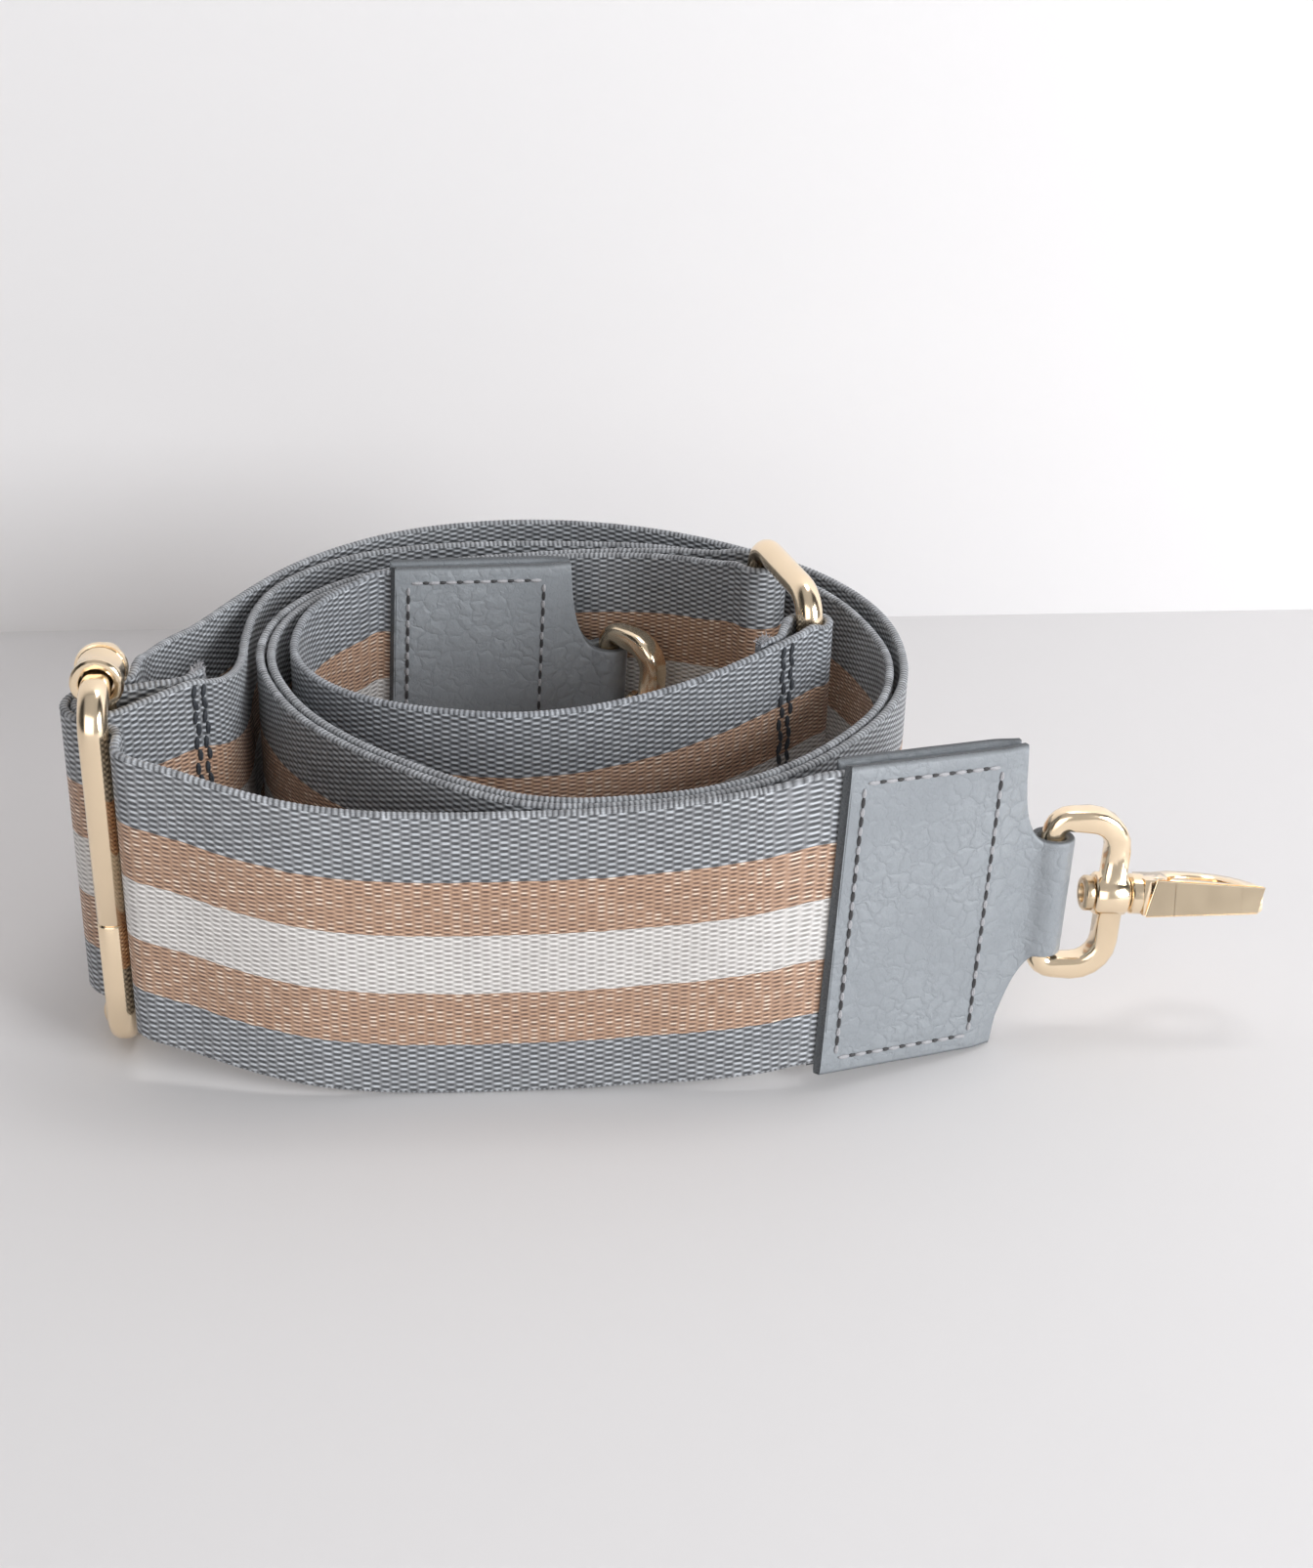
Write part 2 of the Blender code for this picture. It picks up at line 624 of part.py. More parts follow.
def leather_tab(name, parent):
    """Two leather layers with the webbing's pocket between them, folded round the eye's bar."""
    outer = FOLD_RADIUS + LEATHER_THICKNESS
    half = TAB_THICKNESS / 2
    swell = EYE_BAR_X - outer * 1.35
    side = [(0, -half), (swell, -half)]
    steps = 10
    for step in range(steps + 1):
        turn = math.radians(-115) + math.radians(230) * step / steps
        side.append((EYE_BAR_X + outer * math.cos(turn), outer * math.sin(turn)))
    side += [(swell, half), (0, half)]
    tab = prism(name, side, -TAB_HEIGHT, TAB_HEIGHT, along_z)
    face = prism("tab_face", tab_outline(), -outer - CUT_OVERRUN, outer + CUT_OVERRUN, along_y)
    tab = combine(tab, face, "INTERSECT")
    gap = POCKET_GAP / 2
    end = POCKET_LENGTH + CLEARANCE
    pocket = [(-CUT_OVERRUN, -gap), (end, -gap), (end, gap), (-CUT_OVERRUN, gap)]
    tab = combine(tab, prism("tab_pocket", pocket, -TAB_HEIGHT, TAB_HEIGHT, along_z), "DIFFERENCE")
    bore = circle(FOLD_RADIUS, 20, (EYE_BAR_X, 0))
    tab = combine(tab, prism("tab_bore", bore, -TAB_HEIGHT, TAB_HEIGHT, along_z), "DIFFERENCE")
    return mesh_object(name, tab, LEATHER, parent)


def slider(root):
    """The slider's frame, and its centre bar with a collar round each short side."""
    centre = slider_places()[1]
    mid_height = COLLAR_OVERHANG + SLIDER_HEIGHT / 2
    matrix = Matrix.Translation((centre.x, centre.y, mid_height)) @ Matrix.Rotation(SLIDER_TURN, 4, "Z")
    frame = empty("slider_axis", root, matrix)
    height = SLIDER_HEIGHT - SLIDER_ROD
    rows = frame_path(SLIDER_SPACING, height, SLIDER_CORNER, SLIDER_CORNER)
    section = rod_section(SLIDER_ROD, SLIDER_ROD, SLIDER_SQUARENESS)
    mesh_object("slider_frame", rod_frame("slider_frame", rows, lambda x: section), METAL, frame)

    lip = COLLAR_RADIUS + COLLAR_LIP
    half = COLLAR_LENGTH / 2
    ease = COLLAR_LIP
    profile = [
        (-half, lip - ease), (-half + ease, lip), (-half + COLLAR_LIP_LENGTH, lip),
        (-half + COLLAR_LIP_LENGTH, COLLAR_RADIUS), (half - COLLAR_LIP_LENGTH, COLLAR_RADIUS),
        (half - COLLAR_LIP_LENGTH, lip), (half - ease, lip), (half, lip - ease),
    ]
    reach = height / 2 - COLLAR_BORE_RADIUS - COLLAR_WALL / 2
    bar_outline = circle(CENTRE_BAR_DIAMETER / 2, 16)
    bar = prism("slider_centre_bar", bar_outline, -reach, reach, along_z)
    for side in (-1, 1):
        collar = turned("collar", profile)
        collar.transform(Matrix.Translation((0, 0, side * height / 2)))
        bar = combine(bar, collar, "UNION")
    for side in (-1, 1):
        hole = turned("collar_bore", [(-half - CUT_OVERRUN, COLLAR_BORE_RADIUS),
                                      (half + CUT_OVERRUN, COLLAR_BORE_RADIUS)])
        hole.transform(Matrix.Translation((0, 0, side * height / 2)))
        bar = combine(bar, hole, "DIFFERENCE")
    slide = empty("centre_bar_slide", frame, Matrix.Identity(4))
    mesh_object("slider_centre_bar", bar, METAL, slide)


def adjuster_ring(root):
    """The plain ring between the two webbings, on its front bar's axis."""
    front = ring_places()[0]
    matrix = Matrix.Translation((front.x, front.y, RING_HEIGHT / 2)) @ Matrix.Rotation(RING_TURN, 4, "Z")
    frame = empty("ring_hinge", root, matrix)
    rows = frame_path(RING_SPACING, RING_HEIGHT - RING_ROD, RING_CORNER, RING_CORNER)
    rows = [(x + RING_SPACING / 2, z, turn) for x, z, turn in rows]
    section = rod_section(RING_ROD, RING_ROD, 1)
    mesh_object("adjuster_ring", rod_frame("adjuster_ring", rows, lambda x: section), METAL, frame)


def eye_section(x):
    """The eye's wire: round on its hinge bar, boxy with soft edges away from it."""
    share = min(max(x / EYE_CORNER, 0), 1)
    width = EYE_BAR_DIAMETER + (EYE_WIRE_WIDTH - EYE_BAR_DIAMETER) * share
    depth = EYE_BAR_DIAMETER + (EYE_WIRE_DEPTH - EYE_BAR_DIAMETER) * share
    return rod_section(width, depth, 1 + share)


def swivel_hook(name, tab, turn, roll):
    """An eye on its bar in the leather, the swivel post, the hook, its gate, pin and spring."""
    eye = empty(name + "_eye_hinge", tab, Matrix.Translation((EYE_BAR_X, 0, -TAB_NECK_DROP))
                @ Matrix.Rotation(turn, 4, "Z"))
    spacing = EYE_DEPTH - EYE_WIRE_WIDTH
    rows = frame_path(spacing, EYE_HEIGHT - EYE_WIRE_WIDTH, EYE_CORNER / 2, EYE_CORNER)
    rows = [(x + spacing / 2, z, at) for x, z, at in rows]
    ring = rod_frame(name + "_eye", rows, eye_section)
    inner_face = spacing - EYE_WIRE_WIDTH / 2 - BOSS_RISE
    outer_face = spacing + EYE_WIRE_WIDTH / 2 + BOSS_RISE / 2
    boss_radius = BOSS_DIAMETER / 2
    boss = turned("boss", [
        (inner_face, boss_radius - HOOK_EDGE), (inner_face + HOOK_EDGE, boss_radius),
        (outer_face - HOOK_EDGE, boss_radius), (outer_face, boss_radius - HOOK_EDGE),
    ])
    ring = combine(ring, boss, "UNION")
    hole_radius = POST_DIAMETER / 2 + POST_RUN
    hole = turned("boss_bore", [(inner_face - CUT_OVERRUN, hole_radius), (outer_face + CUT_OVERRUN, hole_radius)])
    ring = combine(ring, hole, "DIFFERENCE")
    mesh_object(name + "_eye", ring, METAL, eye)

    swivel = empty(name + "_swivel", eye, Matrix.Rotation(roll, 4, "X"))
    base = outer_face + CLEARANCE
    head_inner = inner_face - CLEARANCE
    post_radius = POST_DIAMETER / 2
    head_radius = POST_HEAD_DIAMETER / 2
    post_end = base + COLLAR_BASE_LENGTH
    post = turned(name + "_swivel_post", [
        (head_inner - POST_HEAD_LENGTH, head_radius - HOOK_EDGE),
        (head_inner - POST_HEAD_LENGTH + HOOK_EDGE, head_radius),
        (head_inner, head_radius), (head_inner, post_radius), (post_end, post_radius),
    ])
    hollow_radius = POST_HOLLOW_DIAMETER / 2
    hollow = turned("post_hollow", [
        (head_inner - POST_HEAD_LENGTH - CUT_OVERRUN, hollow_radius),
        (head_inner - POST_HEAD_LENGTH + POST_HOLLOW_DEPTH, hollow_radius),
    ], 20)
    post = combine(post, hollow, "DIFFERENCE")
    mesh_object(name + "_swivel_post", post, PIN_METAL, swivel)
    hook_pieces(name, swivel, base, post_end)


def hook_pieces(name, swivel, base, post_end):
    """The hook's body with its fork, and the gate with its pin and coil spring."""
    half_height = HOOK_HEIGHT / 2
    half_tip = HOOK_TIP_HEIGHT / 2
    block_start = base + COLLAR_BASE_LENGTH
    block_end = base + HOOK_BASE_LENGTH
    tip = base + HOOK_LENGTH
    gate_line = HOOK_BASE_WIDTH / 2
    pin_place = (block_start + (block_end - block_start) * 0.55, gate_line - GATE_WIDTH / 2)

    arm_rows = hook_arm_rows(block_start, block_end, tip, gate_line)
    rings = []
    for index, (x, y, width) in enumerate(arm_rows):
        before = Vector(arm_rows[max(index - 1, 0)][:2])
        after = Vector(arm_rows[min(index + 1, len(arm_rows) - 1)][:2])
        side = left_of((after - before).normalized()).to_3d() * (width / 2)
        reach = (x - base) / HOOK_LENGTH
        tall = half_height + (half_tip - half_height) * max(reach, 0)
        edge = HOOK_EDGE
        middle = Vector((x, y, 0))
        inset = side.normalized() * edge
        rings.append([
            middle + side - inset - Vector((0, 0, tall)), middle + side - Vector((0, 0, tall - edge)),
            middle + side + Vector((0, 0, tall - edge)), middle + side - inset + Vector((0, 0, tall)),
            middle - side + inset + Vector((0, 0, tall)), middle - side + Vector((0, 0, tall - edge)),
            middle - side - Vector((0, 0, tall - edge)), middle - side + inset - Vector((0, 0, tall)),
        ])
    body = loft(name + "_body", rings)
    half_base = HOOK_BASE_WIDTH / 2
    block = [
        (block_start - HOOK_EDGE, -half_base), (block_end, -half_base), (block_end, 0),
        (block_end - GATE_SLANT, half_base), (block_start - HOOK_EDGE, half_base),
    ]
    body = combine(body, prism("block", block, -half_height, half_height, along_z), "UNION")
    collar = turned("collar", [(base, COLLAR_BASE_DIAMETER / 2 - HOOK_EDGE),
                               (base + HOOK_EDGE, COLLAR_BASE_DIAMETER / 2),
                               (block_start, COLLAR_BASE_DIAMETER / 2)])
    body = combine(body, collar, "UNION")
    hole_radius = POST_DIAMETER / 2 + CLEARANCE
    hole = turned("post_bore", [(base - CUT_OVERRUN, hole_radius), (post_end + CLEARANCE, hole_radius)])
    body = combine(body, hole, "DIFFERENCE")

    slot_half = (GATE_TONGUE_HEIGHT + SPRING_PITCH * SPRING_CURLS + SPRING_WIRE) / 2 + 2 * CLEARANCE
    slot_depth = block_start + PIN_DIAMETER * 0.4
    tongue_drop = (block_end - pin_place[0]) * math.tan(GATE_SWING)
    slot_low = pin_place[1] - tongue_drop - GATE_WIDTH / 2 / math.cos(GATE_SWING) - CLEARANCE
    slot = [(slot_depth, slot_low), (block_end + CUT_OVERRUN, slot_low),
            (block_end + CUT_OVERRUN, gate_line + CUT_OVERRUN), (slot_depth, gate_line + CUT_OVERRUN)]
    body = combine(body, prism("fork_slot", slot, -slot_half, slot_half, along_z), "DIFFERENCE")
    pin_hole = circle(PIN_DIAMETER / 2 + PIN_RUN, 16, pin_place)
    body = combine(body, prism("pin_hole", pin_hole, -TAB_HEIGHT, TAB_HEIGHT, along_z), "DIFFERENCE")
    mesh_object(name + "_body", body, METAL, swivel)

    pin = prism(name + "_gate_pin", circle(PIN_DIAMETER / 2, 16, pin_place),
                -half_height, half_height, along_z)
    mesh_object(name + "_gate_pin", pin, PIN_METAL, swivel)

    gate_frame = empty(name + "_gate_hinge", swivel, Matrix.Translation((*pin_place, 0)))
    gate_piece(name, gate_frame, block_end, tip, gate_line, pin_place, slot_half)
    gate_spring(name, swivel, pin_place, slot_half)


def hook_arm_rows(block_start, block_end, tip, gate_line):
    """The middle line of the hook's curved arm, from its base round to its nose, and its width."""
    start_y = -gate_line + HOOK_ARM_WIDTH / 2
    belly = -HOOK_REACH + HOOK_ARM_WIDTH / 2
    nose_x = tip - HOOK_ARM_WIDTH / 2
    nose_y = gate_line - GATE_WIDTH / 2
    length = nose_x - block_start
    share_rows = (
        (0, start_y, 1), (0.12, start_y, 1), (0.24, start_y + (belly - start_y) * 0.55, 1),
        (0.38, belly * 0.97 + start_y * 0.03, 1), (0.52, belly, 0.95), (0.66, belly * 0.99, 0.92),
        (0.78, belly * 0.89, 0.9), (0.88, belly * 0.66, 0.9), (0.95, belly * 0.34, 0.92),
        (0.99, nose_y * 0.1, 0.96), (1.0, nose_y, 1), (1.0, gate_line, 1),
    )
    return [(block_start + length * share, y, HOOK_ARM_WIDTH * wide) for share, y, wide in share_rows]


def gate_piece(name, frame, block_end, tip, gate_line, pin_place, slot_half):
    """The gate between the fork and the nose, with the tongue that its pin goes through."""
    pin_x, pin_y = pin_place
    half_height = HOOK_HEIGHT / 2
    half_tip = HOOK_TIP_HEIGHT / 2
    outer = gate_line - pin_y
    inner = outer - GATE_WIDTH
    heel = block_end + CLEARANCE - pin_x
    nose = tip - HOOK_ARM_WIDTH - GATE_NOSE_GAP - pin_x
    middle = (heel + nose) / 2
    heel_inner = heel + GATE_SLANT * 0.3
    rings = []
    for inner_x, outer_x in ((heel_inner, heel_inner - GATE_SLANT), (middle, middle), (nose - GATE_SLANT, nose)):
        reach = (pin_x + outer_x - block_end) / (tip - block_end)
        tall = half_height + (half_tip - half_height) * reach
        edge = HOOK_EDGE
        rings.append([
            Vector((inner_x, inner + edge, -tall)), Vector((inner_x, inner, -tall + edge)),
            Vector((inner_x, inner, tall - edge)), Vector((inner_x, inner + edge, tall)),
            Vector((outer_x, outer - edge, tall)), Vector((outer_x, outer, tall - edge)),
            Vector((outer_x, outer, -tall + edge)), Vector((outer_x, outer - edge, -tall)),
        ])
    gate = loft(name + "_gate", rings)
    tongue_top = slot_half - 2 * CLEARANCE
    tongue_low = tongue_top - GATE_TONGUE_HEIGHT
    radius = GATE_WIDTH / 2 - CLEARANCE / 2
    tongue = [(radius * math.cos(turn), radius * math.sin(turn))
              for turn in (QUARTER_TURN + math.pi * step / 8 for step in range(9))]
    tongue += [(heel + GATE_SLANT, -radius), (heel + GATE_SLANT, radius)]
    gate = combine(gate, prism("tongue", tongue, tongue_low, tongue_top, along_z), "UNION")
    hole = circle(PIN_DIAMETER / 2 + PIN_RUN, 16)
    gate = combine(gate, prism("gate_hole", hole, -HOOK_HEIGHT, HOOK_HEIGHT, along_z), "DIFFERENCE")
    mesh_object(name + "_gate", gate, METAL, frame)


def gate_spring(name, swivel, pin_place, slot_half):
    """The coil spring round the pin, beside the gate's tongue."""
    coil_radius = PIN_DIAMETER / 2 + SPRING_WIRE / 2 + SPRING_GAP
    coil_top = slot_half - GATE_TONGUE_HEIGHT - SPRING_WIRE / 2 - 3 * CLEARANCE
    steps = 10 * SPRING_CURLS
    points = []
    for step in range(steps + 1):
        turn = FULL_TURN * SPRING_CURLS * step / steps
        x = pin_place[0] + coil_radius * math.cos(turn)
        y = pin_place[1] + coil_radius * math.sin(turn)
        points.append(Vector((x, y, coil_top - SPRING_PITCH * SPRING_CURLS * step / steps)))
    coil_object(name + "_gate_spring", points, SPRING_WIRE, swivel)


def coil_object(name, points, wire, parent):
    """A wire through the points."""
    curve = bpy.data.curves.new(name, "CURVE")
    curve.dimensions = "3D"
    curve.bevel_depth = wire / 2
    curve.bevel_resolution = 1
    curve.use_fill_caps = True
    spline = curve.splines.new("POLY")
    spline.points.add(len(points) - 1)
    for slot, point in zip(spline.points, points):
        slot.co = (*point, 1)
    made = bpy.data.objects.new(name, curve)
    bpy.context.collection.objects.link(made)
    made.parent = parent
    curve.materials.append(material(SPRING_METAL))
    return made


def stand_on_origin(root):
    """Moves the part so that the middle of its box's underside is the origin."""
    bpy.context.view_layer.update()
    depsgraph = bpy.context.evaluated_depsgraph_get()
    corners = []
    for item in bpy.context.scene.objects:
        if item.type in {"MESH", "CURVE"}:
            shape = item.evaluated_get(depsgraph).to_mesh()
            corners += [item.matrix_world @ vertex.co for vertex in shape.vertices]
    low = Vector([min(point[axis] for point in corners) for axis in range(3)])
    high = Vector([max(point[axis] for point in corners) for axis in range(3)])
    root.location = -Vector(((low.x + high.x) / 2, (low.y + high.y) / 2, low.z))
    bpy.context.view_layer.update()


def build():
    for item in list(bpy.data.objects):
        bpy.data.objects.remove(item)
    root = empty("strap", None, Matrix.Identity(4))
    outer_matrix = tab_matrix(OUTER_TAB_SHARES, standing_height(OUTER_TAB_DROOP, OUTER_TAB_LEAN),
                              OUTER_TAB_TURN, OUTER_TAB_DROOP, OUTER_TAB_LEAN)
    inner_matrix = tab_matrix(INNER_TAB_SHARES, standing_height(INNER_TAB_DROOP, 0),
                              INNER_TAB_TURN, INNER_TAB_DROOP, 0)
    front, outer, inner, short = webbing_routes(outer_matrix, inner_matrix)
    mesh_object("webbing_front_run", webbing_mesh("webbing_front_run", front), LONG_WEBBING, root)
    mesh_object("webbing_outer_lap", webbing_mesh("webbing_outer_lap", outer), LONG_WEBBING, root)
    mesh_object("webbing_inner_lap", webbing_mesh("webbing_inner_lap", inner), LONG_WEBBING, root)
    mesh_object("short_webbing", webbing_mesh("short_webbing", short), SHORT_WEBBING, root)
    slider(root)
    adjuster_ring(root)
    outer_tab = empty("outer_tab_frame", root, outer_matrix)
    inner_tab = empty("inner_tab_frame", root, inner_matrix)
    leather_tab("outer_tab", outer_tab)
    leather_tab("inner_tab", inner_tab)
    swivel_hook("outer_hook", outer_tab, OUTER_EYE_TURN, OUTER_HOOK_ROLL)
    swivel_hook("inner_hook", inner_tab, INNER_EYE_TURN, INNER_HOOK_ROLL)
    stand_on_origin(root)


build()
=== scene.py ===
"""Rolled bag strap: striped webbing, leather tabs, slider, adjuster ring and swivel hooks.

Run as a script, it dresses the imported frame.  Metres, +Z up, origin under the middle of the part."""
import json
import math
import random

import bmesh
import bpy
import numpy as np
from mathutils import Matrix, Vector, noise


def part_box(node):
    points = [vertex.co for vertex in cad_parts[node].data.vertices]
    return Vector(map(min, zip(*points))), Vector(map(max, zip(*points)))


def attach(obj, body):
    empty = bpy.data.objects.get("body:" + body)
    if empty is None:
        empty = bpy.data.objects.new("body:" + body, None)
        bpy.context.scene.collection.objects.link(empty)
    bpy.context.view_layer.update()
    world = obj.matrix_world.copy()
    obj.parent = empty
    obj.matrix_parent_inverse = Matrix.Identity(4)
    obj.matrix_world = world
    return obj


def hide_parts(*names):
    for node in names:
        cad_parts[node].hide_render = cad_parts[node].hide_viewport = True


bl_info = {
    "name": "Rolled bag strap",
    "version": (1, 0, 0),
    "blender": (4, 5, 0),
    "location": "View3D > Sidebar > Strap",
    "description": "Builds a rolled webbing bag strap with leather tabs and gold swivel hooks",
    "category": "Add Mesh",
}

MM = 0.001
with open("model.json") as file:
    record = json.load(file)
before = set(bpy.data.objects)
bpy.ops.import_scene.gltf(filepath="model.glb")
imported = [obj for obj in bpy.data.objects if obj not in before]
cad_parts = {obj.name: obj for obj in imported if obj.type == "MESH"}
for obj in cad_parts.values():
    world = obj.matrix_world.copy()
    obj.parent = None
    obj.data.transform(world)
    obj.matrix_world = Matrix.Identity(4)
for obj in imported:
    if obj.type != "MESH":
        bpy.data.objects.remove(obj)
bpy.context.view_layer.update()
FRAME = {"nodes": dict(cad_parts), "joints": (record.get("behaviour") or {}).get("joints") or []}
JOINTS = {joint["name"]: joint for joint in FRAME["joints"]}
SIDES = ("outer", "inner")

# Angles above which an edge is sharp, in shading, in the CAD and at a webbing's cut end
SHADED_SHARP = math.radians(50)
CAD_SHARP = math.radians(38)
CAP_SHARP = math.radians(65)
# Angle below which two CAD faces are one
CAD_FLAT = math.radians(0.5)
SWEPT_MERGE = 1e-7
CAD_MERGE = 1e-6
SHORTEST_SPAN = 1e-5

# Heights at which the webbing's stripes change, from its lower edge
STRIPE_EDGES = (9.3 * MM, 18.7 * MM, 29.1 * MM, 38.5 * MM)
# Pitch of the floats across the rose, and how much more it is in the white
ROSE_FLOAT = 0.37 * MM
WHITE_FLOAT_EXTRA = 0.06 * MM
SELVEDGE_WIDTH = 0.6 * MM
# Section of the selvedge: height above the edge and share of half the thickness
SELVEDGE_SECTION = ((0, 0), (0.07 * MM, 0.62), (0.35 * MM, 1), (1.1 * MM, 1))
# Beads along the selvedge
BEAD_PITCH = 0.85 * MM
BEAD_REACH = 0.9 * MM
BEAD_LIFT = 0.07 * MM
BEAD_SWELL = 0.16
BEAD_LEVEL = 0.6
STRIP_STEP = BEAD_PITCH / 4
# The CAD webbing's eased edge, and the corners of one ring of it
CAD_EDGE = 0.3 * MM
CAD_RING = 8

# The leather tab's own measures, in its frame: X along it, Y through it, Z up it
TAB_HALF_HEIGHT = 26.3 * MM
TAB_LENGTH = 32.5 * MM
TAB_NECK_START = 38.25 * MM
TAB_NECK_TOP = 9.3 * MM
TAB_NECK_LOW = -10.9 * MM
TAB_LOWER_CORNER = -22.8 * MM
TAB_LOWER_BOW = 1.4 * MM
TAB_LAYER_OFFSET = 1.65 * MM
TAB_BAR_X = 40.45 * MM
TAB_FOLD_RADIUS = 2.875 * MM
TAB_MID_DROP = 0.8 * MM
TAB_FOLD_STEPS = 6
TAB_FOLD_STEP_DEGREES = 20
# The front layer's middle line from the open end to the neck: distance along the tab and depth
TAB_FRONT_LINE = (
    (0, TAB_LAYER_OFFSET), (14 * MM, TAB_LAYER_OFFSET), (25 * MM, TAB_LAYER_OFFSET),
    (28.5 * MM, TAB_LAYER_OFFSET * 0.97), (32 * MM, 0.95 * MM), (35 * MM, 0.74 * MM), (37.2 * MM, 1.25 * MM),
)
# Rows across the leather: share of its height and share of its thickness
LEATHER_ROWS = (
    (0, 0.62), (0.012, 0.93), (0.04, 1), (0.16, 1), (0.3, 1), (0.44, 1),
    (0.58, 1), (0.72, 1), (0.86, 1), (0.96, 1), (0.988, 0.93), (1, 0.62),
)
LEATHER_STEP = 0.55 * MM
LEATHER_END_SLANT = 0.9 * MM
LEATHER_WAVES_PER_METRE = 140
LEATHER_WAVE = 0.12 * MM
LEATHER_WAVE_SEED = 3.0

# Stitches on the tabs; a fill is a share of the pitch
TAB_STITCH_LEFT = 3.0 * MM
TAB_STITCH_RIGHT = 27.4 * MM
TAB_STITCH_INSET = 2.8 * MM
TAB_THREAD_WIDTH = 0.72 * MM
# Dark ovals of painted shade in the stitch holes: their width and how deep they sink
TAB_HOLE_WIDTH = 0.7 * MM
TAB_HOLE_SINK = 0.46
# Thread share of the pitch in the level and upright rows; the painted hole shade takes the sum less this
TAB_LEVEL_FILL = 0.7
TAB_UPRIGHT_FILL = 0.5
TAB_FILL_SUM = 1.12

# Seams at the folds; their rows are placed from the cut end
SEAM_ROWS = (3.2 * MM, 4.8 * MM)
SEAM_PITCH = 2.2 * MM
SEAM_FILL = 1.02
SEAM_WIDTH = 0.95 * MM
SEAM_STRAY = 0.7 * MM
SEAM_MARGIN = 0.6 * MM
# How far back along the webbing the layer under a fold's end may lie
FOLD_NEAREST = 25 * MM
FOLD_FARTHEST = 90 * MM

# Frayed yarn, in millimetres where it is a range of random draws
FRAY_YARNS = 260
FRAY_CORNER_SHARE = 0.06
FRAY_SIDE = 0.55
FRAY_DEPTHS = (0.2, 0.5)
FRAY_CORNER_DEPTHS = (0.2, 2.6)
FRAY_LENGTHS = (0.6, 1.5)
FRAY_RADII = (0.1 * MM, 0.04 * MM)

# Slider and ring, their depths between the bars' middles
SLIDER_ROD = 4.5 * MM
SLIDER_SQUARENESS = 1.25
SLIDER_DEPTH = 21 * MM
RING_ROD = 4.6 * MM
RING_DEPTH = 24.3 * MM
FRAME_CORNER = 5 * MM
BAR_BEVEL = 0.12 * MM
HOOK_BEVEL = 0.1 * MM
# Each hook's pieces: name, CAD node, look, body, slot and bevel
HOOK_PIECES = (
    ("_eye_wire", "eye", "gold", "_eye", "pale_gold", 0),
    ("_post", "swivel_post", "pin", "_hook", "pin_gold", HOOK_BEVEL),
    ("_body", "body", "gold", "_hook", "pale_gold", HOOK_BEVEL),
    ("_pin", "gate_pin", "pin", "_hook", "pin_gold", HOOK_BEVEL),
    ("_gate", "gate", "gold", "_gate", "pale_gold", HOOK_BEVEL),
    ("_spring", "gate_spring", "steel", "_hook", "spring_steel", 0),
)
# The hook's outer plate, from the eye's hinge along the hook, cut where the gate starts and ends
PLATE_HEEL = 15.9 * MM
PLATE_CUTS = (20.3 * MM, 31.4 * MM)
PLATE_CUT_GAP = 0.2 * MM
PLATE_TIP = 35 * MM
PLATE_SLANT = 1.6 * MM
PLATE_FACE = 3.52 * MM
PLATE_THICKNESS = 0.6 * MM
PLATE_HEEL_HALF = 2.9 * MM
PLATE_TIP_HALF = 2.05 * MM
PLATE_NOSE_SLANT = PLATE_SLANT * 0.6
PLATE_BEVEL = 0.16 * MM
# The groove where the slider frame's ends meet: rise and share of the rod's thickness
SEAM_GROOVE = ((0.28 * MM, 1), (0.14 * MM, 0.97), (0, 0.88), (-0.14 * MM, 0.97), (-0.28 * MM, 1))
SEAM_HEIGHT = -7.5 * MM
OUTER_EYE_TURN = math.radians(-19)
INNER_EYE_TURN = math.radians(-52)

STAGE_HALF = 3
WALL_PLACE = (0, 0.124, 0)
WALL_TURN = math.radians(6)
# Lamps: name, place, side, watts and colour
LAMPS = (
    ("window", (0.78, -0.6, 0.36), 0.5, 10.6, (0.95, 0.975, 1.0)),
    ("front", (-0.25, -0.93, 0.33), 0.7, 2.5, (1.0, 0.98, 0.96)),
    ("top", (0.1, 0.1, 0.62), 0.2, 0.85, (1.0, 0.99, 0.98)),
)
# Studio light: share of the way from the middle to either side, and level
WORLD_STOPS = ((0, 0.95), (0.45, 0.85), (0.62, 0.06), (0.86, 0.08), (1, 0.4))
WORLD_BLUE = 1.02
WORLD_STRENGTH = 0.48
WORLD_SEEN = (0.9, 0.895, 0.895)


# Materials

class Maths:
    """A socket of a graph; Python's operators on it add Math nodes."""

    def __init__(self, graph, socket):
        self.graph = graph
        self.socket = socket

    def math(self, operation, *others, clamp=False):
        return self.graph.add("Math", {"operation": operation, "use_clamp": clamp}, self, *others)

    def __add__(self, other):
        return self.math("ADD", other)

    __radd__ = __add__

    def __sub__(self, other):
        return self.math("SUBTRACT", other)

    def __rsub__(self, other):
        return self.graph.add("Math", {"operation": "SUBTRACT"}, other, self)

    def __mul__(self, other):
        return self.math("MULTIPLY", other)

    __rmul__ = __mul__

    def __truediv__(self, other):
        return self.math("DIVIDE", other)

    def __gt__(self, other):
        return self.math("GREATER_THAN", other)

    def __lt__(self, other):
        return self.math("LESS_THAN", other)

    def fract(self):
        return self.math("FRACT")

    def floor(self):
        return self.math("FLOOR")

    def power(self, other):
        return self.math("POWER", other)

    def absolute(self):
        return self.math("ABSOLUTE")

    def sine(self):
        return self.math("SINE")

    def clamped(self):
        return self.math("ADD", 0.0, clamp=True)

    def hump(self, sharpness=2):
        """1 in the middle of each unit and 0 at its ends, steeper with sharpness."""
        return 1 - (self.fract() * 2 - 1).absolute().power(sharpness)


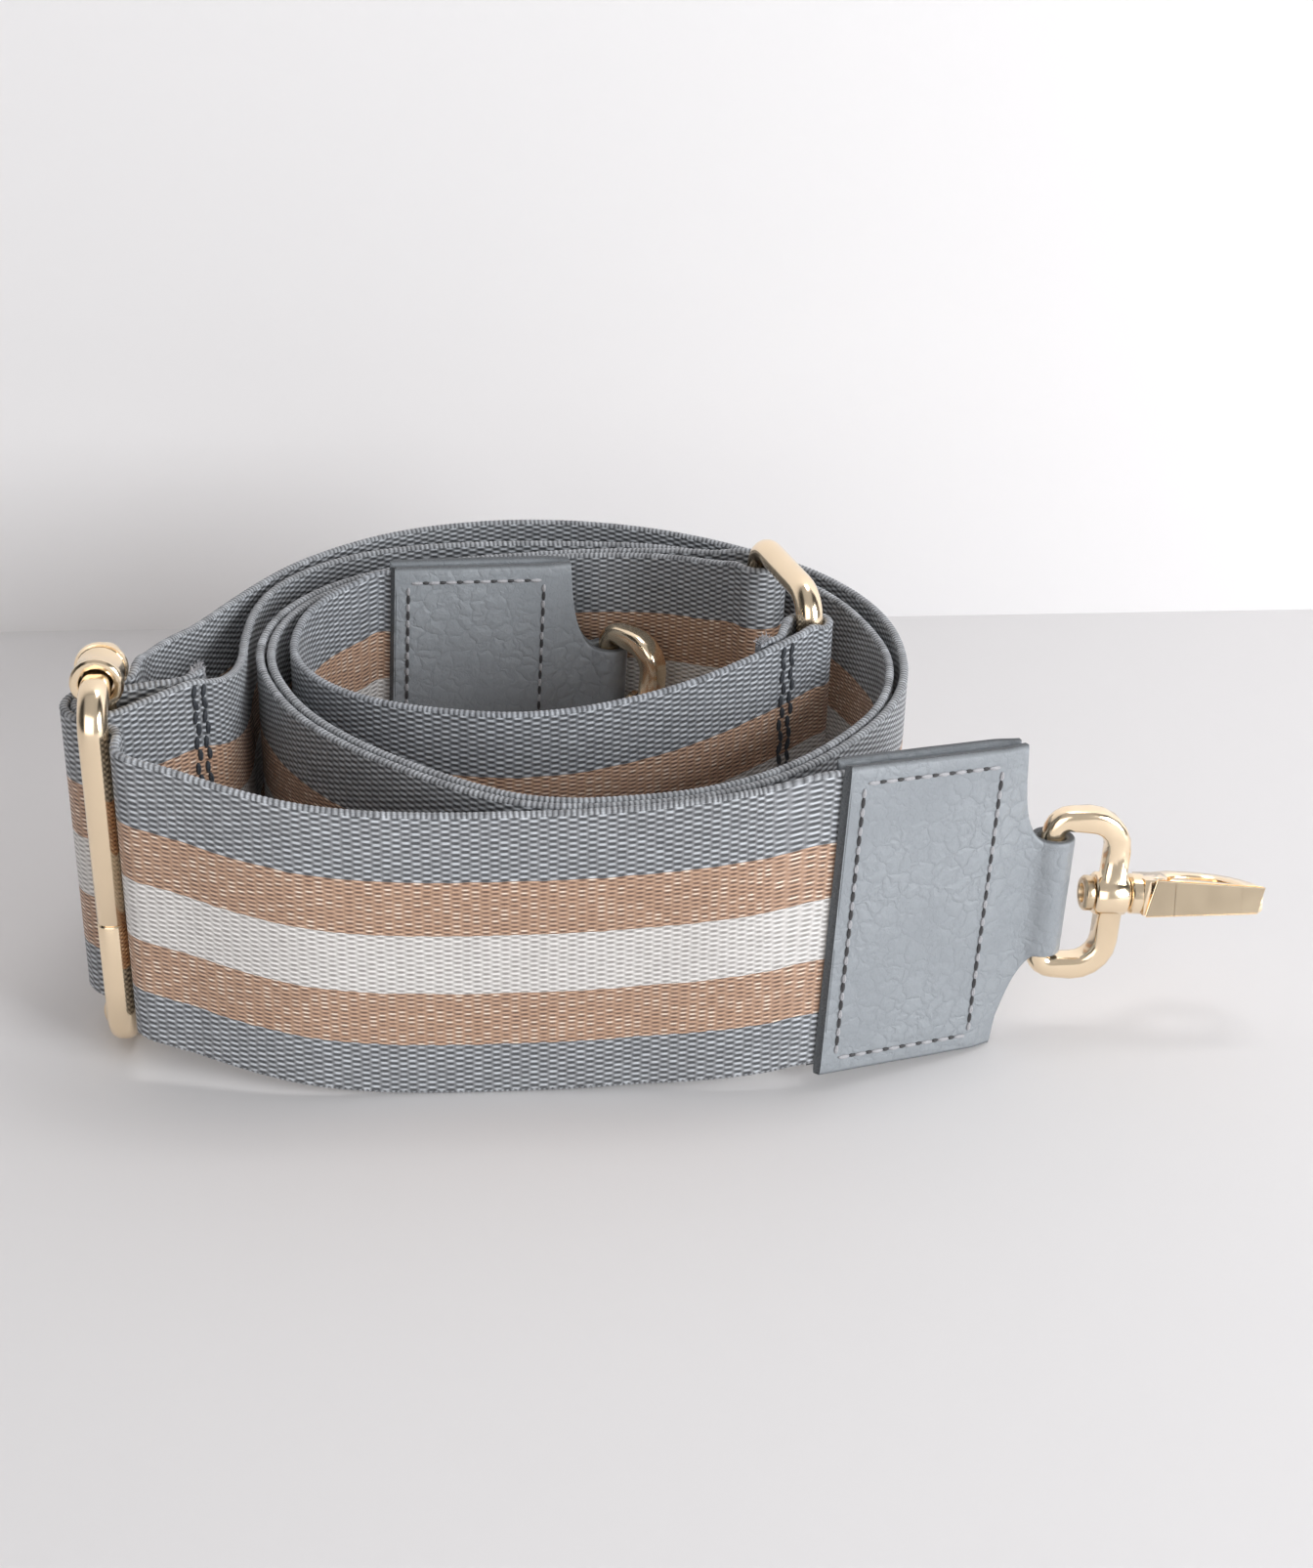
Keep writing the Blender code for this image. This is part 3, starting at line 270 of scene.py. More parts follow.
class Graph:
    """The nodes of a material or a world."""

    def __init__(self, tree):
        self.tree = tree

    def connect(self, socket, value):
        if isinstance(value, Maths):
            self.tree.links.new(value.socket, socket)
        elif socket.type == "RGBA":
            socket.default_value = (*value, 1)
        else:
            socket.default_value = value

    def add(self, kind, settings, *values, output=0, **named):
        """A node of a kind, its settings, then its sockets in order or by name; returns an output."""
        node = self.tree.nodes.new("ShaderNode" + kind)
        for name, value in settings.items():
            if name == "stops":
                for stop, (place, colour) in zip(ramp_stops(node, len(value)), value):
                    stop.position = place
                    stop.color = (*colour, 1)
            else:
                setattr(node, name, value)
        shown = [socket for socket in node.inputs if socket.enabled]
        for socket, value in zip(shown, values):
            self.connect(socket, value)
        for name, value in named.items():
            self.connect(node.inputs[name.replace("_", " ")], value)
        return Maths(self, node.outputs[output])


class Look(Graph):
    """A Principled material."""

    def __init__(self, name, **fixed):
        self.material = bpy.data.materials.new(name)
        self.material.use_nodes = True
        super().__init__(self.material.node_tree)
        self.shader = self.tree.nodes["Principled BSDF"]
        self.set(**fixed)

    def set(self, **values):
        """Sets or links the shader's sockets, named with underscores for spaces."""
        for name, value in values.items():
            self.connect(self.shader.inputs[name.replace("_", " ")], value)

    def noise(self, place, scale, detail, output=0):
        return self.add("TexNoise", {}, Vector=place, Scale=scale, Detail=detail, output=output)

    def mix(self, share, first, second):
        """A colour between two others."""
        return self.add("Mix", {"data_type": "RGBA"}, share, first, second, output=2)

    def split(self, vector):
        """The X, Y and Z of a vector."""
        return [self.add("SeparateXYZ", {}, vector, output=index) for index in range(3)]

    def bump(self, height, distance, strength=1.0):
        self.set(Normal=self.add("Bump", {}, Strength=strength, Distance=distance, Height=height))


def ramp_stops(node, count):
    """The stops of a colour ramp, as many as asked."""
    stops = node.color_ramp.elements
    while len(stops) < count:
        stops.new(0.5)
    return stops


def webbing_look(name, settings, tint):
    """Woven stripes: a chequer of short floats, taller in the grey than in the rose and the white. Shade in
    the gaps between the floats and highlights on their tops are painted into the colour.
    """
    look = Look(name, Specular_IOR_Level=0.6, Sheen_Weight=0.12, Sheen_Roughness=0.4)
    place = look.add("UVMap", {"uv_map": "UVMap"})
    along, across, _ = look.split(place)
    along = along * 1000.0
    across = across * 1000.0
    first, second, third, fourth = (edge / MM for edge in STRIPE_EDGES)
    wander = look.noise(place, 240.0, 2.0)
    edge_wander = (wander - 0.5) * 0.5 + across
    grey = ((edge_wander < first) + (edge_wander > fourth)).clamped()
    white = (edge_wander > second) * (edge_wander < third)
    rose_float = ROSE_FLOAT / MM
    rise = grey * (settings.float_height / MM - rose_float) + white * (WHITE_FLOAT_EXTRA / MM) + rose_float
    rows = (across + (wander - 0.5) * 0.12) / rise
    column = along / (settings.float_length / MM) + (wander - 0.5) * 0.3
    weave = (column * math.pi).sine() * (rows * math.pi).sine()
    pillow = (weave * 0.66 + 0.54).clamped()
    selvedge = SELVEDGE_WIDTH / MM
    rim = ((across < selvedge) + (across > settings.width / MM - selvedge)).clamped()
    loops = (along / (BEAD_PITCH / MM) + (wander - 0.5) * 1.2).hump(1.6)
    # Along the selvedges the loops take the floats' place, so their tops get the painted highlight and their
    # gaps the painted shade
    pillow = pillow * (1 - rim) + (loops * 0.55 + wander * 0.5) * rim
    drawn = look.add("Mapping", {"vector_type": "POINT"}, Vector=place, Scale=(1100.0, 9000.0, 1.0))
    fibres = look.noise(drawn, 1.0, 3.0)
    pick = look.add("TexWhiteNoise", {"noise_dimensions": "2D"},
                    Vector=look.add("CombineXYZ", {}, column.floor(), rows.floor(), 0.0))
    # shade paints light and shade over each float, lit at its middle and shaded in the gaps; fibres and pick
    # add random tone
    shade = (pillow * 0.84 + fibres * 0.4 - 0.16 + (pick - 0.5) * 0.14).clamped()
    # Painted highlights on a share of the rose floats, at their middles; the same spots are made partly
    # metallic below
    highlight_spots = ((pick * 2.2 - 1.0).clamped() * weave.clamped().power(1.8) * 1.4).clamped()
    # Grey ramp: painted shade in the gaps, then the grey, then a painted highlight on each float's top
    grey_colour = look.add("ValToRGB", {"stops": (
        (0.0, settings.grey_gap), (0.2, settings.grey_gap), (0.62, tint), (1.0, settings.grey_painted_highlight))}, shade)
    # Rose: painted shade in the gaps, then painted highlights mixed in
    rose_colour = look.mix(highlight_spots, look.mix(shade, settings.rose_gap, settings.rose), settings.rose_painted_highlight)
    # White: painted shade in the gaps between the threads
    white_colour = look.mix(shade, settings.white_gap, settings.white)
    colour = look.mix(grey, look.mix(white, rose_colour, white_colour), grey_colour)
    glint = (1 - grey) * (1 - white) * highlight_spots
    look.set(Base_Color=colour, Roughness=0.6 - shade * 0.26, Metallic=glint * 0.4)
    look.bump(pillow * 0.2 + fibres * 0.03, 0.001)
    return look.material


def leather_look(name, settings):
    """Pebbled leather, with a dark suede edge where the attribute edge is 1, and painted shade in its creases
    and wrinkles.
    """
    look = Look(name, Specular_IOR_Level=0.5, Coat_Weight=0.12, Coat_Roughness=0.3)
    place = look.add("TexCoord", {}, output=3)
    wide = look.noise(place, 70.0, 4.0)
    fine = look.noise(place, 2400.0, 3.0)
    swirl = look.noise(place, 480.0, 3.0, output=1)
    shift = look.add("VectorMath", {"operation": "SCALE"}, swirl, Scale=0.0027)
    bent = look.add("VectorMath", {"operation": "ADD"}, place, shift)
    cells = look.add("TexVoronoi", {"feature": "DISTANCE_TO_EDGE"}, Vector=bent, Scale=settings.grain_scale)
    grains = look.add("TexVoronoi", {"feature": "DISTANCE_TO_EDGE"}, Vector=bent,
                      Scale=settings.grain_scale * 2.5)
    depth = (wide * 2.4 - 0.55).clamped()
    shaded_crease = (1 - cells * 4.5).clamped().power(1.8) * depth
    wrinkle = 1 - (grains * 5).clamped()
    edge = look.add("Attribute", {"attribute_name": "edge"}, output=2)
    fuzz = look.noise(place, 3800.0, 3.0)
    # tone: random wide patches, with painted shade in the creases and fine wrinkles
    tone = ((wide - 0.5) * 0.6 - shaded_crease * 0.15 - wrinkle * 0.05 + 0.84).clamped()
    raw = look.mix(fuzz, settings.suede, settings.suede_light)
    look.set(Base_Color=look.mix(edge, look.mix(tone, settings.shaded_crease, settings.face), raw),
             Roughness=(edge * 0.4 + 0.42 + shaded_crease * 0.15 + fine * 0.08).clamped())
    relief = cells * 0.4 * depth - shaded_crease * 0.08 - wrinkle * 0.02 + fine * 0.03
    look.bump(relief * (1 - edge) + fuzz * edge * 0.22, 0.001, 0.9)
    return look.material


def metal_look(name, colour, roughness):
    """Polished plate with faint rubbing marks."""
    look = Look(name, Metallic=1.0, Specular_IOR_Level=0.5)
    place = look.add("TexCoord", {}, output=3)
    smears = look.noise(place, 150.0, 4.0)
    fine = look.noise(place, 1500.0, 2.0)
    worn = look.mix((smears - 0.45) * 0.5, colour, tuple(part * 0.82 for part in colour))
    look.set(Base_Color=worn, Roughness=(smears - 0.5) * 0.12 + roughness)
    look.bump(smears * 0.03 + fine * 0.006, 0.001, 0.5)
    return look.material


def thread_look(name, colour):
    """Twisted sewing thread."""
    look = Look(name, Sheen_Weight=0.15, Specular_IOR_Level=0.4)
    place = look.add("TexCoord", {}, output=3)
    twist = look.noise(place, 3500.0, 2.0)
    dark = tuple(part * 0.55 for part in colour)
    look.set(Base_Color=look.mix(twist, dark, colour), Roughness=twist * 0.2 + 0.5)
    look.bump(twist * 0.08, 0.001)
    return look.material


def plain_look(name, colour, roughness, one_sided=False):
    """Pale stage; a one-sided sheet can't be seen from behind."""
    look = Look(name, Roughness=roughness, Specular_IOR_Level=0.2)
    place = look.add("TexCoord", {}, output=3)
    cloudy = look.noise(place, 6.0, 3.0)
    look.set(Base_Color=look.mix((cloudy - 0.4) * 0.2, colour, tuple(part * 0.95 for part in colour)))
    if one_sided:
        clear = look.add("BsdfTransparent", {})
        back = look.add("NewGeometry", {}, output=6)
        painted = Maths(look, look.shader.outputs[0])
        mixed = look.add("MixShader", {}, back, painted, clear)
        look.connect(look.tree.nodes["Material Output"].inputs[0], mixed)
    return look.material


# Meshes

def finish(name, shape, look, body, replaces=()):
    """Turns a bmesh into a piece that rides on a body."""
    bmesh.ops.recalc_face_normals(shape, faces=shape.faces)
    mesh = bpy.data.meshes.new(name)
    shape.to_mesh(mesh)
    shape.free()
    piece = bpy.data.objects.new(name, mesh)
    bpy.context.scene.collection.objects.link(piece)
    mesh.materials.append(look)
    mesh.shade_smooth()
    mesh.set_sharp_from_angle(angle=SHADED_SHARP)
    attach(piece, body)
    if replaces:
        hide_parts(*replaces)
    return piece


def swept(rings, closed=False, coordinates=None, edges=None):
    """A skin through rings of as many points: a grid that is bent round and sewn shut."""
    count = len(rings)
    around = len(rings[0])
    rows = count if closed else count - 1
    shape = bmesh.new()
    bmesh.ops.create_grid(shape, x_segments=rows, y_segments=around, size=1)
    uv_layer = shape.loops.layers.uv.new("UVMap")
    edge_layer = shape.verts.layers.float.new("edge")
    spots = {}
    for vertex in shape.verts:
        row = round((vertex.co.x + 1) / 2 * rows)
        turn = round((vertex.co.y + 1) / 2 * around)
        spots[vertex] = (row, turn)
    for vertex, (row, turn) in spots.items():
        vertex.co = rings[row % count][turn % around]
        if edges:
            vertex[edge_layer] = edges[row % count][turn % around]
    if coordinates:
        for face in shape.faces:
            for loop in face.loops:
                row, turn = spots[loop.vert]
                loop[uv_layer].uv = coordinates(row, turn)
    bmesh.ops.remove_doubles(shape, verts=shape.verts, dist=SWEPT_MERGE)
    if not closed:
        open_edges = [edge for edge in shape.edges if edge.is_boundary]
        bmesh.ops.holes_fill(shape, edges=open_edges)
    return shape


def smooth_through(points, step):
    """Evenly spaced rows on a smooth curve through rows of numbers; the first three are a place."""
    rows = np.array(points)
    spans = np.linalg.norm(np.diff(rows[:, :2], axis=0), axis=1)
    keep = np.concatenate(([True], spans > SHORTEST_SPAN))
    rows = rows[keep]
    spans = np.linalg.norm(np.diff(rows[:, :2], axis=0), axis=1)
    marks = np.concatenate(([0], np.cumsum(spans)))
    slopes = np.diff(rows, axis=0) / spans[:, None]
    weights = spans[:, None]
    inner = (slopes[:-1] * weights[1:] + slopes[1:] * weights[:-1]) / (weights[1:] + weights[:-1])
    tangents = np.vstack((slopes[:1], inner, slopes[-1:]))
    places = np.linspace(0, marks[-1], max(2, round(marks[-1] / step)) + 1)
    index = np.clip(np.searchsorted(marks, places, side="right") - 1, 0, len(spans) - 1)
    share = ((places - marks[index]) / spans[index])[:, None]
    span = spans[index][:, None]
    cubed = share ** 3
    squared = share ** 2
    return places, (
        rows[index] * (2 * cubed - 3 * squared + 1) + rows[index + 1] * (3 * squared - 2 * cubed)
        + tangents[index] * span * (cubed - 2 * squared + share)
        + tangents[index + 1] * span * (cubed - squared)
    )


def merged_copy(node):
    """A bmesh of a CAD node with its loose triangles joined up."""
    shape = bmesh.new()
    shape.from_mesh(FRAME["nodes"][node].data)
    bmesh.ops.remove_doubles(shape, verts=shape.verts, dist=CAD_MERGE)
    return shape


def stations_of(node, near):
    """The foot and head of a webbing node's middle plane, ring by ring from the end that is near."""
    shape = merged_copy(node)
    caps = [edge for edge in shape.edges if edge.calc_face_angle(0) > CAP_SHARP]
    start = min((vertex for edge in caps for vertex in edge.verts), key=lambda v: (v.co - near).length)
    ring = {start}
    grown = True
    while grown:
        found = {v for edge in caps if ring & set(edge.verts) for v in edge.verts}
        grown = len(found) > len(ring)
        ring = found
    rows = []
    seen = set()
    while ring:
        if len(ring) == CAD_RING:
            ordered = sorted(ring, key=lambda v: v.co.zxy[:])
            half = CAD_RING // 2
            foot = sum((v.co for v in ordered[:half]), Vector()) / half
            head = sum((v.co for v in ordered[half:]), Vector()) / half
            up = (head - foot).normalized() * (CAD_EDGE / 2)
            rows.append((*(foot - up), *(head + up)))
        seen |= ring
        ring = {edge.other_vert(v) for v in ring for edge in v.link_edges} - seen
    shape.free()
    return rows


def strip_rows(width, thickness):
    """Across one side of the webbing: height and half thickness at each row."""
    half = thickness / 2
    rows = [(height, half * share) for height, share in SELVEDGE_SECTION]
    top = [(width - height, thick) for height, thick in reversed(rows)]
    return [*rows, (width / 2, half), *top]


def left_of(run):
    """The level direction to the left of a run."""
    return Vector((-run.y, run.x, 0))


def webbing_strip(name, stations, settings, look, replaces):
    """A woven strip along its stations, with beaded selvedges."""
    width = settings.width
    rows = strip_rows(width, settings.thickness)
    places, line = smooth_through(stations, STRIP_STEP)
    sides = [*range(len(rows)), *range(len(rows) - 2, 0, -1)]
    tangents = np.gradient(line[:, :2], axis=0)
    rings = []
    for place, station, tangent in zip(places, line, tangents):
        foot = Vector(station[:3])
        head = Vector(station[3:])
        side = left_of(Vector((tangent[0], tangent[1], 0)).normalized())
        bead = abs(math.sin(math.pi * place / BEAD_PITCH))
        ring = []
        for index, row in enumerate(sides):
            height, thick = rows[row]
            bulge = bead - BEAD_LEVEL if min(height, width - height) < BEAD_REACH else 0
            sign = 1 if index < len(rows) else -1
            lift = bulge * BEAD_LIFT * (1 if height > width / 2 else -1)
            swell = 1 + bulge * BEAD_SWELL
            share = (height + lift) / width
            ring.append(foot + (head - foot) * share + side * (thick * swell * sign))
        rings.append(ring)
    heights = [rows[row][0] for row in [*sides, 0]]
    shape = swept(rings, coordinates=lambda row, turn: (places[row], heights[turn]))
    piece = finish(name, shape, look, "strap", replaces)
    return places, line


def matrix_of(*columns):
    """A matrix from its X, Y and Z columns and its place."""
    matrix = Matrix.Identity(4)
    for column, vector in enumerate(columns):
        for row in range(3):
            matrix[row][column] = vector[row]
    return matrix


def joint_frame(origin, x_axis, z_axis):
    """A matrix with that origin, X along the first axis and Z as near as can be to the second."""
    x = Vector(x_axis).normalized()
    z = Vector(z_axis)
    z = (z - x * z.dot(x)).normalized()
    return matrix_of(x, z.cross(x), z, origin)


def eye_frame(which):
    """An eye's frame: its hinge bar is the origin, X points to the hook."""
    hinge = JOINTS[which + "_eye_hinge"]
    swivel = JOINTS[which + "_hook_swivel"]
    return joint_frame(hinge["pos_m"], swivel["axis"], hinge["axis"])


def tab_frame(which):
    """A tab's frame: X along it from its open end, Z up it."""
    turn = OUTER_EYE_TURN if which == "outer" else INNER_EYE_TURN
    shift = Matrix.Translation((-TAB_BAR_X, 0, TAB_MID_DROP))
    return eye_frame(which) @ Matrix.Rotation(-turn, 4, "Z") @ shift


def tab_span(x):
    """The lower and upper edge of the leather at a distance along it."""
    if x <= TAB_LENGTH:
        return -TAB_HALF_HEIGHT, TAB_HALF_HEIGHT
    share = min((x - TAB_LENGTH) / (TAB_NECK_START - TAB_LENGTH), 1)
    rise = math.sqrt(max(1 - (1 - share) ** 2, 0))
    top = TAB_HALF_HEIGHT - (TAB_HALF_HEIGHT - TAB_NECK_TOP) * rise
    low = TAB_LOWER_CORNER + (TAB_NECK_LOW - TAB_LOWER_CORNER) * share
    return low + math.sin(share * math.pi) * TAB_LOWER_BOW, top


def tab_path():
    """The leather's middle line seen from above, from the front layer's end round the bar and back."""
    front = [(x, -depth) for x, depth in TAB_FRONT_LINE]
    arc = []
    for step in range(-TAB_FOLD_STEPS, TAB_FOLD_STEPS + 1):
        turn = math.radians(TAB_FOLD_STEP_DEGREES * step)
        arc.append((TAB_BAR_X + TAB_FOLD_RADIUS * math.cos(turn), TAB_FOLD_RADIUS * math.sin(turn)))
    return front + arc + list(reversed(TAB_FRONT_LINE))


def leather_tab(which, settings, look):
    """One piece of leather folded round the eye's bar, its two ends cut at a slant."""
    matrix = tab_frame(which)
    half = settings.thickness / 2
    _, line = smooth_through([(x, y, 0) for x, y in tab_path()], LEATHER_STEP)
    tangents = np.gradient(line[:, :2], axis=0)
    top_row = len(LEATHER_ROWS) - 1
    rings = []
    marks = []
    last = len(line) - 1
    for index, ((x, y, _), tangent) in enumerate(zip(line, tangents)):
        run = Vector((tangent[0], tangent[1])).normalized()
        side = Vector((-run.y, run.x))
        low, top = tab_span(x)
        end = min(index, last - index)
        ring = []
        mark = []
        for sign, order in ((1, range(top_row + 1)), (-1, range(top_row, -1, -1))):
            slant = run * (LEATHER_END_SLANT if sign == -1 and end == 0 else 0)
            if index > last / 2:
                slant = -slant
            for row in order:
                share, thick = LEATHER_ROWS[row]
                z = low + (top - low) * share
                away = side * (half * thick * sign) + slant
                spot = Vector((x * LEATHER_WAVES_PER_METRE, z * LEATHER_WAVES_PER_METRE,
                               LEATHER_WAVE_SEED + index / last))
                wave = 0 if end < 2 else noise.noise(spot) * LEATHER_WAVE
                ring.append(matrix @ Vector((x + away.x, y + away.y + side.y * wave, z)))
                mark.append(1.0 if row in (0, top_row) or end == 0 else 0.0)
        rings.append(ring)
        marks.append(mark)
    shape = swept(rings, edges=marks)
    piece = finish(which + "_leather_tab", shape, look, "strap", (which + "_tab",))


def stitch_into(shape, start, finish_at, out, width, sink):
    """Adds one stitch: a small oval of thread from a place to another, standing out of the surface."""
    run = finish_at - start
    made = bmesh.ops.create_uvsphere(shape, u_segments=6, v_segments=5, radius=1)
    along = run.normalized()
    across = out.cross(along).normalized()
    centre = (start + finish_at) / 2 + out * (width * (0.5 - sink))
    matrix = matrix_of(across * (width / 2), out * (width / 2), along * (run.length / 2), centre)
    bmesh.ops.transform(shape, matrix=matrix, verts=made["verts"])


def stitch_line(shape, start, finish_at, out, pitch, fill, width, sink=0.35, stray=0.0):
    """A row of stitches along a line, which may stray a little to both sides."""
    run = finish_at - start
    count = max(1, round(run.length / pitch))
    aside = out.cross(run).normalized() * stray
    for index in range(count):
        low = start + run * ((index + (1 - fill) / 2) / count) + aside * (index % 2 - 0.5)
        high = start + run * ((index + (1 + fill) / 2) / count) - aside * (index * 3 % 5 / 4 - 0.5)
        stitch_into(shape, low, high, out, width, sink)


def tab_stitches(which, settings, made):
    """The stitched rectangle on both faces of a tab, with dark ovals between the stitches that paint the
    shade in the holes they go down in.
    """
    matrix = tab_frame(which)
    turn = matrix.to_3x3()
    left, right = TAB_STITCH_LEFT, TAB_STITCH_RIGHT
    low, high = -TAB_HALF_HEIGHT + TAB_STITCH_INSET, TAB_HALF_HEIGHT - TAB_STITCH_INSET
    sides = (
        ((left, high), (right, high), TAB_LEVEL_FILL), ((left, low), (right, low), TAB_LEVEL_FILL),
        ((left, low), (left, high), TAB_UPRIGHT_FILL), ((right, low), (right, high), TAB_UPRIGHT_FILL),
    )
    face = TAB_LAYER_OFFSET + settings.thickness / 2
    pitch = settings.stitch_pitch
    threads = bmesh.new()
    # holes gathers the dark ovals of painted shade
    holes = bmesh.new()
    for sign in (-1, 1):
        out = (turn @ Vector((0, sign, 0))).normalized()
        for (x0, z0), (x1, z1), fill in sides:
            start = matrix @ Vector((x0, sign * face, z0))
            finish_at = matrix @ Vector((x1, sign * face, z1))
            half = (finish_at - start).normalized() * (pitch / 2)
            stitch_line(threads, start, finish_at, out, pitch, fill, TAB_THREAD_WIDTH)
            # Dark ovals between the stitches: painted shade in the holes
            stitch_line(holes, start + half, finish_at - half, out, pitch, TAB_FILL_SUM - fill,
                        TAB_HOLE_WIDTH, TAB_HOLE_SINK)
    finish(which + "_tab_thread", threads, made["thread"], "strap")
    finish(which + "_tab_stitch_holes", holes, made["dark_thread"], "strap")


def refined(name, node, look, body, bevel):
    """A CAD node's shape with its corners eased."""
    shape = merged_copy(node)
    bmesh.ops.dissolve_limit(shape, angle_limit=CAD_FLAT, verts=shape.verts, edges=shape.edges)
    sharp = [edge for edge in shape.edges if edge.calc_face_angle(0) > CAD_SHARP]
    if bevel:
        bmesh.ops.bevel(shape, geom=sharp, offset=bevel, offset_type="OFFSET", affect="EDGES",
                        segments=2, profile=0.5, material=-1, clamp_overlap=True)
    finish(name, shape, look, body, (node,))


def rod_section(width, depth, squareness, sides=28):
    """A rod's outline: round at squareness 1, boxy with soft edges as it grows."""
    points = []
    for index in range(sides):
        turn = math.tau * (index + 0.5) / sides
        across, along = (math.copysign(abs(share) ** (1 / squareness), share)
                         for share in (math.cos(turn), math.sin(turn)))
        points.append((across * width / 2, along * depth / 2))
    return points


def rod_frame(matrix, depth, height, corner, section, seam=None, steps=10):
    """A closed frame of rod along a rounded rectangle in X and Z, with a seam at a height of its -X bar."""
    rings = []
    quarter = math.pi / 2
    corners = ((1, 1, 0), (-1, 1, quarter), (-1, -1, math.pi), (1, -1, math.pi + quarter))
    for x_sign, z_sign, start in corners:
        middle = Vector((x_sign * (depth / 2 - corner), 0, z_sign * (height / 2 - corner)))
        for step in range(steps + 1):
            turn = start + quarter * step / steps
            outward = Vector((math.cos(turn), 0, math.sin(turn)))
            centre = middle + outward * corner
            rings.append([matrix @ (centre + outward * out + Vector((0, across, 0)))
                          for out, across in section])
        if seam is not None and (x_sign, z_sign) == (-1, 1):
            for rise, share in SEAM_GROOVE:
                centre = Vector((-depth / 2, 0, seam + rise))
                rings.append([matrix @ (centre + Vector((-out * share, across * share, 0)))
                              for out, across in section])
    return swept(rings, closed=True)


# Settings

class StrapWebbing(bpy.types.PropertyGroup):
    """Sizes and colours of the webbing."""
    width: bpy.props.FloatProperty(
        name="Width", description="Width of the webbing", default=50 * MM, unit="LENGTH", subtype="DISTANCE")
    thickness: bpy.props.FloatProperty(
        name="Thickness", description="Thickness of the webbing",
        default=1.35 * MM, unit="LENGTH", subtype="DISTANCE")
    float_length: bpy.props.FloatProperty(
        name="Float length", description="Pitch of the grey floats along it",
        default=1.45 * MM, unit="LENGTH", subtype="DISTANCE")
    float_height: bpy.props.FloatProperty(
        name="Float height", description="Pitch of the grey floats across it",
        default=0.5 * MM, unit="LENGTH", subtype="DISTANCE")
    grey: bpy.props.FloatVectorProperty(
        name="Grey", description="Grey floats of the long webbing",
        default=(0.26, 0.268, 0.282), subtype="COLOR")
    # The short webbing's grey: a darker, shaded copy of the long webbing's grey, so painted shade
    shaded_short_grey: bpy.props.FloatVectorProperty(
        name="Short grey", description="Grey floats of the short webbing",
        default=(0.235, 0.247, 0.268), subtype="COLOR")
    # Painted shade in the gaps between the grey floats
    grey_gap: bpy.props.FloatVectorProperty(
        name="Grey gap", description="Shade between the grey floats",
        default=(0.062, 0.065, 0.071), subtype="COLOR")
    # Painted highlight on the tops of the grey floats
    grey_painted_highlight: bpy.props.FloatVectorProperty(
        name="Grey glint", description="Brightest part of the grey floats",
        default=(0.60, 0.63, 0.67), subtype="COLOR")
    rose: bpy.props.FloatVectorProperty(
        name="Rose", description="Rose-gold threads", default=(0.66, 0.42, 0.285), subtype="COLOR")
    # Painted shade in the gaps between the rose threads
    rose_gap: bpy.props.FloatVectorProperty(
        name="Rose gap", description="Shade between the rose threads",
        default=(0.125, 0.064, 0.04), subtype="COLOR")
    # Painted highlight on the glinting rose floats
    rose_painted_highlight: bpy.props.FloatVectorProperty(
        name="Rose glint", description="Glinting parts of the rose threads",
        default=(1.0, 0.86, 0.72), subtype="COLOR")
    white: bpy.props.FloatVectorProperty(
        name="White", description="White threads", default=(0.85, 0.82, 0.795), subtype="COLOR")
    # Painted shade in the gaps between the white threads
    white_gap: bpy.props.FloatVectorProperty(
        name="White gap", description="Shade between the white threads",
        default=(0.30, 0.28, 0.265), subtype="COLOR")
    thread: bpy.props.FloatVectorProperty(
        name="Seam thread", description="Thread that sews the folds down",
        default=(0.035, 0.04, 0.05), subtype="COLOR")


class StrapLeather(bpy.types.PropertyGroup):
    """Sizes and colours of the leather tabs."""
    thickness: bpy.props.FloatProperty(
        name="Thickness", description="Thickness of the leather",
        default=1.35 * MM, unit="LENGTH", subtype="DISTANCE")
    stitch_pitch: bpy.props.FloatProperty(
        name="Stitch pitch", description="Distance from stitch to stitch",
        default=3.1 * MM, unit="LENGTH", subtype="DISTANCE")
    grain_scale: bpy.props.FloatProperty(
        name="Grain scale", description="Pebbles per metre", default=340.0)
    face: bpy.props.FloatVectorProperty(
        name="Leather", description="Colour of the pebbles", default=(0.285, 0.305, 0.325), subtype="COLOR")
    # Painted shade in the creases between the pebbles
    shaded_crease: bpy.props.FloatVectorProperty(
        name="Crease", description="Colour between the pebbles",
        default=(0.12, 0.132, 0.145), subtype="COLOR")
    suede: bpy.props.FloatVectorProperty(
        name="Suede", description="Dark fibres of the cut edge",
        default=(0.04, 0.045, 0.05), subtype="COLOR")
    suede_light: bpy.props.FloatVectorProperty(
        name="Pale suede", description="Pale fibres of the cut edge",
        default=(0.16, 0.17, 0.18), subtype="COLOR")
    thread: bpy.props.FloatVectorProperty(
        name="Tab thread", description="Thread of the tabs' stitches",
        default=(0.46, 0.455, 0.475), subtype="COLOR")
    # Painted shade in the tabs' stitch holes, drawn with the thread look
    dark_thread: bpy.props.FloatVectorProperty(
        name="Stitch holes", description="Shade in the holes of the tabs' stitches",
        default=(0.05, 0.048, 0.05), subtype="COLOR")


